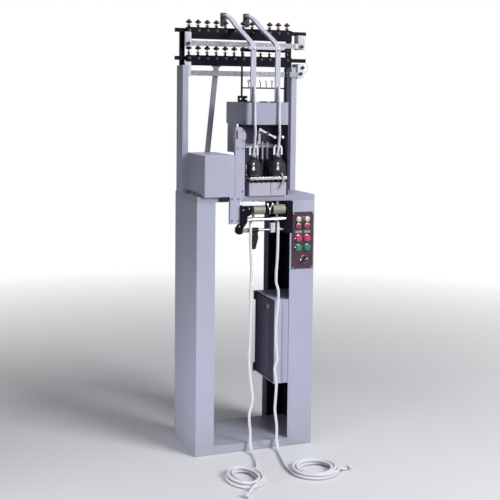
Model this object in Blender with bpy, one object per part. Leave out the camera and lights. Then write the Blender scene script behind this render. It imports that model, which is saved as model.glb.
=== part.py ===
# Two-head yarn braiding machine: a sheet-metal portal stand with the braiding heads on its table,
# a creel of yarn tensioners behind, take-up rollers below, and two finished cords on the floor.
# Metres, +Z up, +X to the operator's right, +Y away from the operator.
# The origin is the middle of the base, on the floor.

import math

import bmesh
import bpy
from mathutils import Matrix, Vector

# Clearance between pieces that touch, and between a turning piece and its bearing.
GAP = 0.0003

# Stand.
STAND_WIDTH = 0.580
STAND_DEPTH = 0.340
TABLE_HEIGHT = 1.200
TABLE_BAND = 0.025
BASE_HEIGHT = 0.040
SHEET = 0.003
LEFT_LEG_WIDTH = 0.088
REAR_FLANGE_WIDTH = 0.118
BOLT_HOLE_RADIUS = 0.006
BOLT_INSET = 0.044

# Electrical cabinet in the right leg's open side, its door and the door's lock.
CABINET_PROUD = 0.072
CABINET_LOW = 0.307
CABINET_TALL = 0.400
CABINET_BACK_Y = STAND_DEPTH / 2 - 0.090
DOOR_THICK = 0.0025
DOOR_MARGIN = 0.008
HINGE_RADIUS = 0.006
HINGE_PIN_RADIUS = 0.0025
HINGE_LENGTH = 0.034
LOCK_RADIUS = 0.011
LOCK_LENGTH = 0.012
LOCK_STEM_RADIUS = 0.003
LOCK_RISE = 0.361
LOCK_SETBACK = 0.055

# Control panel on the right leg.
PANEL_TALL = 0.268
PANEL_LOW = TABLE_HEIGHT - 0.349
PANEL_THICK = 0.004
PANEL_INSET = 0.006
PANEL_INNER_MARGIN = 0.009
PANEL_EDGE = 0.008
COLUMN_SPACING = 0.044
LAMP_RADIUS = 0.0125
LAMP_LENGTH = 0.006
LAMP_PLATE = 0.0015
LAMP_MARGIN = 0.0015
WHITE_LAMP_Z = PANEL_LOW + 0.234
RED_LAMP_Z = PANEL_LOW + 0.203
STOP_BUTTON_Z = PANEL_LOW + 0.145
START_BUTTON_Z = PANEL_LOW + 0.101
BUTTON_RADIUS = 0.0145
BUTTON_LENGTH = 0.010
BUTTON_STEM_RADIUS = 0.007
BUTTON_STEM_LENGTH = 0.012
BUTTON_TRAVEL = 0.004
SELECTOR_Z = PANEL_LOW + 0.044
SELECTOR_SHIFT = 0.010
SELECTOR_RADIUS = 0.015
SELECTOR_LENGTH = 0.006
SELECTOR_GRIP = 0.008

# Drive cover on the table, and the motor inside it.
COVER_LEFT_X = -STAND_WIDTH / 2 + 0.028
COVER_FRONT_Y = -STAND_DEPTH / 2 - 0.020
COVER_DEPTH = STAND_DEPTH - 0.065
COVER_TALL = 0.1887
COVER_WALL = 0.002
COVER_ROUND = 0.003
LATCH_TO_BRACKET = 0.026
LATCH_WIDTH = 0.038
LATCH_TALL = 0.018
LATCH_DEPTH = 0.012
MOTOR_OFF_MIDDLE = -0.00085
MOTOR_Y = COVER_FRONT_Y + 0.095
MOTOR_RADIUS = 0.046
MOTOR_TALL = 0.100
MOTOR_SHAFT_RADIUS = 0.005
MOTOR_SHAFT_GRIP = 0.030
MOTOR_FRAME_HALF = 0.052
MOTOR_FRAME_THICK = 0.004
MOTOR_PULLEY_RADIUS = 0.012
DRIVE_PULLEY_RADIUS = 0.0145
PULLEY_RIM = 0.002
BELT_Z = TABLE_HEIGHT + 0.0395
BELT_TALL = 0.010
BELT_THICK = 0.0025
SLOT_CLEAR = 0.003

# Cast bracket at the left of the heads, the casting on it and the stop switch.
BRACKET_LEG_LEFT_X = -0.139
BRACKET_LEG_RIGHT_X = -0.091
BRACKET_LEG_LOW = TABLE_HEIGHT - 0.125
BRACKET_RIGHT_X = -0.070
BRACKET_PLATE_WIDTH = 0.046
BRACKET_TOP = TABLE_HEIGHT + 0.236
CASTING_TALL = 0.080
CASTING_DEPTH = 0.034
SWITCH_WIDTH = 0.0105
SWITCH_DEPTH = 0.024
SWITCH_LOW = TABLE_HEIGHT + 0.068
SWITCH_TALL = 0.084

# Braiding heads.
HEAD_MIDDLE_X = 0.048
HEAD_PITCH = 0.120
HEAD_Y = -STAND_DEPTH / 2 + 0.020
NEEDLE_TUBE_RADIUS = 0.0105
NEEDLE_TUBE_BORE = 0.0080
NEEDLE_TUBE_LOW = TABLE_HEIGHT - 0.020
NEEDLE_TUBE_TOP = TABLE_HEIGHT + 0.198
HUB_RADIUS = 0.0200
HUB_CLEAR = 0.001
DRUM_RADIUS = 0.038
DRUM_TALL = 0.052
DRUM_NECK_RADIUS = 0.024
DRUM_CONE_TALL = 0.022
DRUM_COLLAR_RADIUS = 0.017
DRUM_COLLAR_TALL = 0.016
DRUM_LIFT = 0.003
EYE_RADIUS = 0.0065
EYE_PROUD = 0.002
EYE_RISE = 0.034
EYE_TURN = 21.0

# Gears and the vertical drive shaft.
HEAD_GEAR_TEETH = 24
DRIVE_GEAR_TEETH = 46
DRIVE_SET_BACK = 0.033
GEAR_LIFT = 0.010
GEAR_TALL = 0.012
GEAR_BOSS_RADIUS = 0.017
DRIVE_SHAFT_RADIUS = 0.006
DRIVE_SHAFT_PROUD = 0.004
TOOTH_TIP = 0.80
TOOTH_ROOT = 1.15
TOOTH_TIP_HALF = 0.13
TOOTH_ROOT_HALF = 0.34

# Gear housing and the plate above it.
HOUSING_LEFT_X = HEAD_MIDDLE_X - HEAD_PITCH / 2 - 0.0317
HOUSING_RIGHT_X = HEAD_MIDDLE_X + HEAD_PITCH / 2 + 0.0320
HOUSING_FRONT_Y = HEAD_Y - 0.0315
HOUSING_BACK_Y = HEAD_Y + 0.0860
HOUSING_TALL = 0.0617
HOUSING_WALL = 0.0035
PLATE_THICK = 0.014
PLATE_FEET_TALL = 0.012
PLATE_FOOT = 0.010
PLATE_OVERHANG = 0.008

# Head frame and hood.
FRAME_LEFT_X = HOUSING_LEFT_X - 0.0113
FRAME_RIGHT_X = HOUSING_RIGHT_X + 0.0120
FRAME_FRONT_Y = HEAD_Y - 0.020
FRAME_BACK_Y = HEAD_Y + 0.090
FRAME_SHEET = 0.003
HOOD_LEFT_X = FRAME_LEFT_X - 0.007
HOOD_FRONT_Y = HEAD_Y - 0.028
HOOD_BACK_Y = HEAD_Y + 0.240
HOOD_LOW = TABLE_HEIGHT + 0.327
HOOD_TALL = 0.103
HOOD_WALL = 0.0025
HOOD_ROUND = 0.018
HOOD_SKIRT_LOW = TABLE_HEIGHT + 0.192
HOOD_SKIRT_FRONT_Y = HEAD_Y + 0.100

# Yarn guides and stop lever in the recess.
ARCH_Z = TABLE_HEIGHT + 0.237
ARCH_WIDTH = 0.046
ARCH_OPENING = 0.028
ARCH_DROP = 0.050
ARCH_THICK = 0.004
ARCH_FRONT_Y = HEAD_Y - ARCH_THICK / 2
ARCH_ARM_WIDTH = 0.012
GUIDE_ROD_RADIUS = 0.0045
GUIDE_ROD_TOP = TABLE_HEIGHT + 0.246
GUIDE_ROD_SPACING = 0.0245
GUIDE_ROD_Y = HEAD_Y + 0.044
STOP_PIVOT_X = HEAD_MIDDLE_X
STOP_PIVOT_Z = TABLE_HEIGHT + 0.287
STOP_HALF_LENGTH = 0.040
STOP_LEVER_TALL = 0.008
STOP_LEVER_FRONT_Y = HEAD_Y - 0.018
STOP_LEVER_THICK = 0.006
STOP_LEVER_TILT = 26.0
STOP_KNOB_RADIUS = 0.007
STOP_PIN_RADIUS = 0.003

# Take-up below the table.
ROLLER_Z = TABLE_HEIGHT - 0.0625
ROLLER_RADIUS = 0.0225
ROLLER_SHAFT_RADIUS = 0.006
LEFT_ROLLER_X = -0.026
LEFT_ROLLER_LENGTH = 0.056
RIGHT_ROLLER_X = 0.0705
RIGHT_ROLLER_LENGTH = 0.060
REAR_SHAFT_LEFT_X = -0.032
BEARING_MARGIN = 0.004
BEARING_LOW = TABLE_HEIGHT - 0.084
TAKEUP_RIGHT_X = 0.136
TAKEUP_RIGHT_WIDTH = 0.0305
TAKEUP_LEG_CLEARANCE = 0.0005
TAKEUP_RIGHT_LOW = TABLE_HEIGHT - 0.174
TAKEUP_BACK_Y = HEAD_Y + 0.052
TAKEUP_FRONT_Y = HEAD_Y - 0.050
SOCKET_DEPTH = 0.008
TAKEUP_TIE_THICK = 0.006
TAKEUP_ARM_TOP = TABLE_HEIGHT - 0.042
TAKEUP_ARM_X = -0.036
TAKEUP_ARM_BACK_Y = HEAD_Y - 0.010
BAR_RADIUS = 0.0095
BAR_Y = HEAD_Y - 0.0365
BAR_Z = TABLE_HEIGHT - 0.1065
LOWER_ROD_RADIUS = 0.006
GUIDE_BAR_LEFT_X = -0.066
LOWER_ROD_LEFT_X = -0.088
LOWER_ROD_Y = HEAD_Y - 0.022
LOWER_ROD_Z = TABLE_HEIGHT - 0.158
CLAMP_X = -0.010
CLAMP_WIDTH = 0.028
CLAMP_RING_RADIUS = 0.012
CLAMP_LENGTH = 0.088
CLAMP_TIP_WIDTH = 0.013
CLAMP_THICK = 0.016
GUIDE_BLOCK_X = 0.064
GUIDE_BLOCK_WIDTH = 0.021
GUIDE_BLOCK_LOW = LOWER_ROD_Z - 0.012
GUIDE_BLOCK_TALL = 0.044
GUIDE_BLOCK_DEPTH = 0.022

# Creel.
POST_WIDTH = 0.0275
POST_DEPTH = 0.097
POST_FRONT_Y = STAND_DEPTH / 2 - 0.110
POST_WALL = 0.0025
BAR_LEFT_X = -STAND_WIDTH / 2 + 0.028
BAR_RIGHT_X = STAND_WIDTH / 2 - 0.018
TENSION_BAR_Y = POST_FRONT_Y + 0.025
TENSION_BAR_DEPTH = 0.025
UPPER_BAR_LOW = TABLE_HEIGHT + 0.724
UPPER_BAR_TALL = 0.052
LOWER_BAR_LOW = TABLE_HEIGHT + 0.599
LOWER_BAR_TALL = 0.046
RAIL_LEFT_X = -STAND_WIDTH / 2 - 0.022
RAIL_RIGHT_X = STAND_WIDTH / 2 + 0.067
RAIL_TALL = 0.018
RAIL_DROP = 0.003
RAIL_DEPTH = 0.0145
UPRIGHT_WIDTH = 0.023
UPRIGHT_INSET = 0.005
TENSION_COUNT = 12
TENSION_SPAN = STAND_WIDTH - 0.080
TENSION_DISC_RADIUS = 0.0125
TENSION_STEM_RADIUS = 0.0035
UPPER_STEM_TALL = 0.017
LOWER_STEM_TALL = 0.026
TENSION_DISC_TALL = 0.016
TENSION_CAP_TALL = 0.005
TENSION_BASE_TALL = 0.002
TENSION_BASE_WIDTH = 0.016
STRIP_TALL = 0.024
STRIP_DEPTH = 0.012
UPPER_STRIP_LOW = UPPER_BAR_LOW - 0.034
LOWER_STRIP_LOW = LOWER_BAR_LOW - 0.048
BRACKET_LEFT_X = BAR_LEFT_X - 0.014
BRACKET_INNER_X = BAR_LEFT_X + 0.016
BRACKET_DEPTH = 0.0145
BRACKET_BELOW = 0.004
BRACKET_RISE = 0.068
RIGHT_BRACKET_X = STAND_WIDTH / 2 + 0.010
UPPER_BRACKET_END_X = STAND_WIDTH / 2 + 0.043
LOWER_BRACKET_END_X = STAND_WIDTH / 2 + 0.032
STAY_WIDTH = 0.025
STAY_DEPTH = 0.008
STAY_FLANGE_WIDTH = 0.042
STAY_FLANGE_TALL = 0.006
STAY_TOP_X = -0.113
STAY_FOOT_X = -0.173

# Guide frame and yarn arms on the hood.
GUIDE_POST = 0.007
GUIDE_POST_Y = HEAD_Y
GUIDE_POST_LEFT_X = -0.074
GUIDE_POST_RIGHT_X = 0.1425
GUIDE_FRAME_TOP = TABLE_HEIGHT + 0.674
GUIDE_BEAM_TALL = 0.016
GUIDE_CLAMP_TALL = 0.028
GUIDE_CLAMP_DEPTH = 0.020
GUIDE_CLAMP_LEFT = 0.016
GUIDE_CLAMP_RIGHT = 0.024
EYELET_BAR_Z = TABLE_HEIGHT + 0.494
EYELET_BAR_TALL = 0.006
EYELET_COUNT = 5
EYELET_SPACING = 0.0285
EYELET_FIRST_X = -0.040
EYELET_RISE = 0.032
EYELET_RADIUS = 0.006
EYELET_STEM = 0.003
ARM_WIDTH = 0.024
ARM_THICK = 0.010
ARM_FOOT_Y = HEAD_Y - 0.014
ARM_TIP_Y = POST_FRONT_Y + 0.197
ARM_SHIFT = -0.012
CROSSBAR_OVERHANG = 0.014
CROSSBAR_Z = TABLE_HEIGHT + 0.675
CROSSBAR_TALL = 0.014
CROSSBAR_PROUD = 0.006

# Yarn and cord.
YARN_RADIUS = 0.0060
YARN_SHIFT = 0.010
YARN_START_Z = TABLE_HEIGHT + 0.500
CORD_RADIUS = 0.0065
NIP_EXIT_Z = ROLLER_Z - 0.0275
CORD_STEP = 0.030
PILE_LOOP_POINTS = 24
PILE_PITCH = 0.0165
PILE_LAYER = 0.0142
PILE_FLOOR_CLEAR = 0.0004
PILE_LEAD = 0.060
TAIL_FALL_START = 0.58
TAIL_FALL_END = 0.96
LEFT_PILE_CENTRE = (-0.170, HEAD_Y - 0.342)
LEFT_PILE_HALF = (0.082, 0.110)
LEFT_PILE_TURNS = (2.0, 1.56)
LEFT_TAIL_END = (-0.211, HEAD_Y - 0.504)
LEFT_TAIL_HEADING = (-0.55, -0.80)
RIGHT_PILE_CENTRE = (0.160, HEAD_Y - 0.355)
RIGHT_PILE_HALF = (0.108, 0.104)
RIGHT_PILE_TURNS = (2.0, 1.85)
RIGHT_TAIL_END = (0.285, HEAD_Y - 0.390)
RIGHT_TAIL_HEADING = (0.90, 0.10)
KNOT_RADIUS = 0.0125
KNOT_LENGTH = 0.027

# Values that follow from the ones above.
HALF_WIDTH = STAND_WIDTH / 2
HALF_DEPTH = STAND_DEPTH / 2
TABLE_UNDERSIDE = TABLE_HEIGHT - TABLE_BAND
RIGHT_LEG_WIDTH = HALF_WIDTH - TAKEUP_RIGHT_X - TAKEUP_RIGHT_WIDTH - TAKEUP_LEG_CLEARANCE
PANEL_WIDTH = RIGHT_LEG_WIDTH - PANEL_INSET - PANEL_INNER_MARGIN
COVER_RIGHT_X = BRACKET_RIGHT_X - BRACKET_PLATE_WIDTH - GAP
LATCH_X = BRACKET_LEG_LEFT_X - LATCH_TO_BRACKET
MOTOR_X = (COVER_LEFT_X + COVER_RIGHT_X) / 2 + MOTOR_OFF_MIDDLE
HEAD_XS = (HEAD_MIDDLE_X - HEAD_PITCH / 2, HEAD_MIDDLE_X + HEAD_PITCH / 2)
DRIVE_Y = HEAD_Y + DRIVE_SET_BACK
DRIVE_DISTANCE = math.hypot(HEAD_PITCH / 2, DRIVE_SET_BACK)
GEAR_MODULE = 2 * DRIVE_DISTANCE / (HEAD_GEAR_TEETH + DRIVE_GEAR_TEETH)
HOUSING_LOW = TABLE_HEIGHT + GAP
HOUSING_TOP = HOUSING_LOW + HOUSING_TALL
GEAR_LOW = HOUSING_LOW + GEAR_LIFT
GEAR_TOP = GEAR_LOW + GEAR_TALL
PLATE_LOW = HOUSING_TOP + GAP + PLATE_FEET_TALL
PLATE_TOP = PLATE_LOW + PLATE_THICK
DRUM_LOW = PLATE_TOP + DRUM_LIFT
HOOD_TOP = HOOD_LOW + HOOD_TALL
FRONT_ROLLER_Y = HEAD_Y - CORD_RADIUS - ROLLER_RADIUS - GAP
REAR_ROLLER_Y = HEAD_Y + CORD_RADIUS + ROLLER_RADIUS + GAP
PANEL_X = HALF_WIDTH - PANEL_INSET - PANEL_WIDTH / 2
PANEL_FACE_Y = -HALF_DEPTH - GAP - PANEL_THICK
CABINET_LEFT_X = HALF_WIDTH - RIGHT_LEG_WIDTH - CABINET_PROUD
CABINET_FRONT_Y = -HALF_DEPTH + SHEET + GAP
CABINET_TOP = CABINET_LOW + CABINET_TALL
DOOR_X = CABINET_LEFT_X - GAP - DOOR_THICK
DOOR_AXIS_X = CABINET_LEFT_X - GAP - HINGE_RADIUS
DOOR_AXIS_Y = CABINET_BACK_Y - HINGE_RADIUS
BAR_BACK_Y = TENSION_BAR_Y + TENSION_BAR_DEPTH
TENSION_Y = TENSION_BAR_Y + TENSION_BAR_DEPTH / 2
PILE_Z = CORD_RADIUS + PILE_FLOOR_CLEAR

# The arms' centre line from the foot on the hood to the turned-down tip: share of the way back from
# foot to tip, and height above the table.
ARM_LINE = (
    (0.0, 0.668), (0.019, 0.685), (0.057, 0.697), (0.2352, 0.732), (0.4941, 0.777), (0.6936, 0.821),
    (0.8527, 0.844), (0.9359, 0.851), (0.981, 0.846), (1.0, 0.830), (1.0, 0.798),
)

# The hanging cords' routes, from the rollers to the floor and on to their piles.
LEFT_CORD_ROUTE = (
    (-0.012, HEAD_Y, TABLE_HEIGHT - 0.102), (-0.027, HEAD_Y - 0.012, TABLE_HEIGHT - 0.119),
    (-0.035, HEAD_Y - 0.027, TABLE_HEIGHT - 0.133), (-0.038, HEAD_Y - 0.037, TABLE_HEIGHT - 0.150),
    (-0.038, HEAD_Y - 0.039, TABLE_HEIGHT - 0.170), (-0.037, HEAD_Y - 0.038, TABLE_HEIGHT - 0.230),
    (-0.031, HEAD_Y - 0.038, TABLE_HEIGHT * 0.7167), (-0.034, HEAD_Y - 0.038, TABLE_HEIGHT * 0.6083),
    (-0.034, HEAD_Y - 0.038, TABLE_HEIGHT * 0.4583), (-0.037, HEAD_Y - 0.038, TABLE_HEIGHT * 0.3667),
    (-0.03, HEAD_Y - 0.038, TABLE_HEIGHT * 0.2917), (-0.018, HEAD_Y - 0.038, TABLE_HEIGHT * 0.2083),
    (-0.034, HEAD_Y - 0.038, TABLE_HEIGHT * 0.1458), (-0.028, HEAD_Y - 0.038, TABLE_HEIGHT * 0.0792),
    (-0.029, HEAD_Y - 0.041, 0.052), (-0.03, HEAD_Y - 0.056, 0.021),
    (-0.034, HEAD_Y - 0.094, PILE_Z), (-0.046, HEAD_Y - 0.160, PILE_Z),
    (-0.068, HEAD_Y - 0.222, PILE_Z),
)
RIGHT_CORD_ROUTE = (
    (0.108, HEAD_Y, TABLE_HEIGHT - 0.102), (0.1055, HEAD_Y - 0.012, TABLE_HEIGHT - 0.119),
    (0.102, HEAD_Y - 0.027, TABLE_HEIGHT - 0.133), (0.099, HEAD_Y - 0.037, TABLE_HEIGHT - 0.150),
    (0.098, HEAD_Y - 0.039, TABLE_HEIGHT - 0.170), (0.097, HEAD_Y - 0.038, TABLE_HEIGHT * 0.775),
    (0.092, HEAD_Y - 0.038, TABLE_HEIGHT * 0.6708), (0.105, HEAD_Y - 0.038, TABLE_HEIGHT * 0.6167),
    (0.094, HEAD_Y - 0.038, TABLE_HEIGHT * 0.4917), (0.097, HEAD_Y - 0.038, TABLE_HEIGHT * 0.4083),
    (0.102, HEAD_Y - 0.038, TABLE_HEIGHT * 0.3583), (0.091, HEAD_Y - 0.038, TABLE_HEIGHT * 0.3208),
    (0.1, HEAD_Y - 0.038, TABLE_HEIGHT * 0.2625), (0.097, HEAD_Y - 0.038, TABLE_HEIGHT * 0.1958),
    (0.095, HEAD_Y - 0.038, TABLE_HEIGHT * 0.1542), (0.105, HEAD_Y - 0.038, TABLE_HEIGHT * 0.0917),
    (0.104, HEAD_Y - 0.041, 0.055), (0.102, HEAD_Y - 0.056, 0.021),
    (0.093, HEAD_Y - 0.094, PILE_Z), (0.08, HEAD_Y - 0.150, PILE_Z),
    (0.066, HEAD_Y - 0.210, PILE_Z),
)


def clear_scene():
    for old in list(bpy.data.objects):
        bpy.data.objects.remove(old, do_unlink=True)


def paint(name, colour, roughness, metallic):
    """A plain Principled material."""
    made = bpy.data.materials.new(name)
    made.use_nodes = True
    shader = made.node_tree.nodes["Principled BSDF"]
    shader.inputs["Base Color"].default_value = (*colour, 1.0)
    shader.inputs["Roughness"].default_value = roughness
    shader.inputs["Metallic"].default_value = metallic
    return made


def box(low, high):
    """A box between two corners."""
    low = Vector(low)
    high = Vector(high)
    bm = bmesh.new()
    place = Matrix.Translation((low + high) / 2) @ Matrix.Diagonal((*(high - low), 1.0))
    bmesh.ops.create_cube(bm, size=1.0, matrix=place)
    return bm


def rounded_box(low, high, radius):
    """A box with small rounds along all its edges."""
    bm = box(low, high)
    bmesh.ops.bevel(bm, geom=bm.edges, offset=radius, segments=2, affect="EDGES", profile=0.5, material=-1)
    return bm


def rod(start, end, radius, segments=16):
    """A round bar between two points."""
    bm = bmesh.new()
    start = Vector(start)
    end = Vector(end)
    along = end - start
    turn = along.to_track_quat("Z", "Y").to_matrix().to_4x4()
    bmesh.ops.create_cone(
        bm,
        cap_ends=True,
        segments=segments,
        radius1=radius,
        radius2=radius,
        depth=along.length,
        matrix=Matrix.Translation((start + end) / 2) @ turn,
    )
    return bm


def prism(outline, axis, low, high):
    """A plate of the given outline, from low to high along an axis.

    The outline's two numbers are Y and Z for the X axis, X and Z for Y, and X and Y for Z.
    """
    bm = bmesh.new()
    spread = {
        "X": lambda u, v, w: (w, u, v),
        "Y": lambda u, v, w: (u, w, v),
        "Z": lambda u, v, w: (u, v, w),
    }[axis]
    face = bm.faces.new([bm.verts.new(spread(u, v, low)) for u, v in outline])
    moved = bmesh.ops.extrude_face_region(bm, geom=[face])["geom"]
    fresh = [item for item in moved if isinstance(item, bmesh.types.BMVert)]
    bmesh.ops.translate(bm, verts=fresh, vec=spread(0.0, 0.0, high - low))
    bmesh.ops.recalc_face_normals(bm, faces=bm.faces)
    return bm


def turned(profile, centre, axis="Z", segments=20):
    """A ring turned from a closed profile of (radius, height), or a solid if it starts on the axis."""
    bm = bmesh.new()
    verts = [bm.verts.new((radius, 0.0, height)) for radius, height in profile]
    on_axis = profile[0][0] == 0.0
    count = len(verts) - 1 if on_axis else len(verts)
    edges = [bm.edges.new((verts[i], verts[(i + 1) % len(verts)])) for i in range(count)]
    bmesh.ops.spin(
        bm,
        geom=verts + edges,
        cent=(0.0, 0.0, 0.0),
        axis=(0.0, 0.0, 1.0),
        angle=2 * math.pi,
        steps=segments,
        use_merge=True,
    )
    bmesh.ops.remove_doubles(bm, verts=bm.verts, dist=1e-6)
    turn = {
        "X": Matrix.Rotation(math.pi / 2, 4, "Y"),
        "Y": Matrix.Rotation(-math.pi / 2, 4, "X"),
        "Z": Matrix(),
    }[axis]
    bmesh.ops.transform(bm, verts=bm.verts, matrix=Matrix.Translation(centre) @ turn)
    bmesh.ops.recalc_face_normals(bm, faces=bm.faces)
    return bm


def object_of(shape, name):
    mesh = bpy.data.meshes.new(name)
    shape.to_mesh(mesh)
    shape.free()
    made = bpy.data.objects.new(name, mesh)
    bpy.context.collection.objects.link(made)
    return made


def solid(name, shape, material, adds=(), cuts=()):
    """One sub-part: a shape, with others joined to it and then others cut from it."""
    made = object_of(shape, name)
    for operation, tools in (("UNION", adds), ("DIFFERENCE", cuts)):
        for tool_shape in tools:
            tool = object_of(tool_shape, "tool")
            change = made.modifiers.new("shape", "BOOLEAN")
            change.solver = "EXACT"
            change.operation = operation
            change.object = tool
            bpy.context.view_layer.update()
            seen = made.evaluated_get(bpy.context.evaluated_depsgraph_get())
            fresh = bpy.data.meshes.new_from_object(seen)
            made.modifiers.clear()
            made.data = fresh
            bpy.data.objects.remove(tool, do_unlink=True)
    mesh = made.data
    mesh.name = name
    mesh.materials.clear()
    mesh.materials.append(material)
    mesh.shade_smooth()
    mesh.set_sharp_from_angle(angle=math.radians(35))
    return made


def turns_about(made, name, point):
    """Hangs a moving piece on an empty that stands on its joint's axis."""
    hub = bpy.data.objects.new(name, None)
    hub.location = point
    bpy.context.collection.objects.link(hub)
    made.parent = hub
    made.matrix_parent_inverse = Matrix.Translation(-Vector(point))


def smooth_route(points, spacing):
    """Points about a spacing apart along a smooth curve through the route's own points."""
    own = [Vector(point) for point in points]
    own = [2 * own[0] - own[1]] + own + [2 * own[-1] - own[-2]]
    fine = []
    for i in range(1, len(own) - 2):
        before, start, end, after = own[i - 1:i + 3]
        for step in range(24):
            t = step / 24
            fine.append(0.5 * (
                2 * start
                + (end - before) * t
                + (2 * before - 5 * start + 4 * end - after) * t ** 2
                + (3 * start - before - 3 * end + after) * t ** 3
            ))
    fine.append(own[-2])
    total = sum((b - a).length for a, b in zip(fine, fine[1:]))
    count = max(1, round(total / spacing))
    route = [fine[0]]
    walked = 0.0
    for a, b in zip(fine, fine[1:]):
        length = (b - a).length
        while len(route) < count and walked + length >= total * len(route) / count:
            route.append(a.lerp(b, (total * len(route) / count - walked) / length))
        walked += length
    route.append(fine[-1])
    return route


def tube(name, route, radius, resolution, material):
    """A round cord along a route of points, with closed ends."""
    curve = bpy.data.curves.new(name, "CURVE")
    curve.dimensions = "3D"
    curve.fill_mode = "FULL"
    curve.bevel_depth = radius
    curve.bevel_resolution = resolution
    curve.use_fill_caps = True
    spline = curve.splines.new("POLY")
    spline.points.add(len(route) - 1)
    for point, at in zip(spline.points, route):
        point.co = (*at, 1.0)
    curve.materials.append(material)
    made = bpy.data.objects.new(name, curve)
    bpy.context.collection.objects.link(made)
    return made


def make_stand(light):
    """Base tray with its bolt holes, two legs and the table, all folded from sheet."""
    base = box((-HALF_WIDTH, -HALF_DEPTH, 0.0), (HALF_WIDTH, HALF_DEPTH, BASE_HEIGHT))
    inside_base = box(
        (-HALF_WIDTH + SHEET, -HALF_DEPTH + SHEET, SHEET),
        (HALF_WIDTH - SHEET, HALF_DEPTH - SHEET, BASE_HEIGHT - SHEET),
    )
    bolt_holes = [
        rod((x, y, -SHEET), (x, y, 2 * SHEET), BOLT_HOLE_RADIUS)
        for x in (-HALF_WIDTH + BOLT_INSET, HALF_WIDTH - BOLT_INSET)
        for y in (-HALF_DEPTH + BOLT_INSET, HALF_DEPTH - BOLT_INSET)
    ]
    solid("base_tray", base, light, cuts=[inside_base, *bolt_holes])

    low = BASE_HEIGHT + GAP
    high = TABLE_UNDERSIDE - GAP
    left_x = -HALF_WIDTH + LEFT_LEG_WIDTH
    left = box((-HALF_WIDTH, -HALF_DEPTH, low), (left_x, HALF_DEPTH, high))
    hollow = box(
        (-HALF_WIDTH + SHEET, -HALF_DEPTH + SHEET, low - SHEET),
        (left_x - SHEET, HALF_DEPTH - SHEET, high + SHEET),
    )
    solid("left_leg", left, light, cuts=[hollow])

    front_x = HALF_WIDTH - RIGHT_LEG_WIDTH
    back_x = HALF_WIDTH - REAR_FLANGE_WIDTH
    channel = prism(
        [
            (front_x, -HALF_DEPTH),
            (HALF_WIDTH, -HALF_DEPTH),
            (HALF_WIDTH, HALF_DEPTH),
            (back_x, HALF_DEPTH),
            (back_x, HALF_DEPTH - SHEET),
            (HALF_WIDTH - SHEET, HALF_DEPTH - SHEET),
            (HALF_WIDTH - SHEET, -HALF_DEPTH + SHEET),
            (front_x, -HALF_DEPTH + SHEET),
        ],
        "Z", low, high,
    )
    half_hole = PANEL_WIDTH / 2 - PANEL_EDGE
    panel_hole = box(
        (PANEL_X - half_hole, -HALF_DEPTH - SHEET, PANEL_LOW + PANEL_EDGE),
        (PANEL_X + half_hole, -HALF_DEPTH + 2 * SHEET, PANEL_LOW + PANEL_TALL - PANEL_EDGE),
    )
    solid("right_leg", channel, light, cuts=[panel_hole])

    table = box((-HALF_WIDTH, -HALF_DEPTH, TABLE_UNDERSIDE), (HALF_WIDTH, HALF_DEPTH, TABLE_HEIGHT))
    under_table = box(
        (-HALF_WIDTH + SHEET, -HALF_DEPTH + SHEET, TABLE_UNDERSIDE - SHEET),
        (HALF_WIDTH - SHEET, HALF_DEPTH - SHEET, TABLE_HEIGHT - SHEET),
    )
    tube_holes = [
        rod((x, HEAD_Y, TABLE_UNDERSIDE), (x, HEAD_Y, HOUSING_TOP), NEEDLE_TUBE_RADIUS + GAP, 20)
        for x in HEAD_XS
    ]
    solid("table_top", table, light, cuts=[under_table, *tube_holes])


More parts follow.
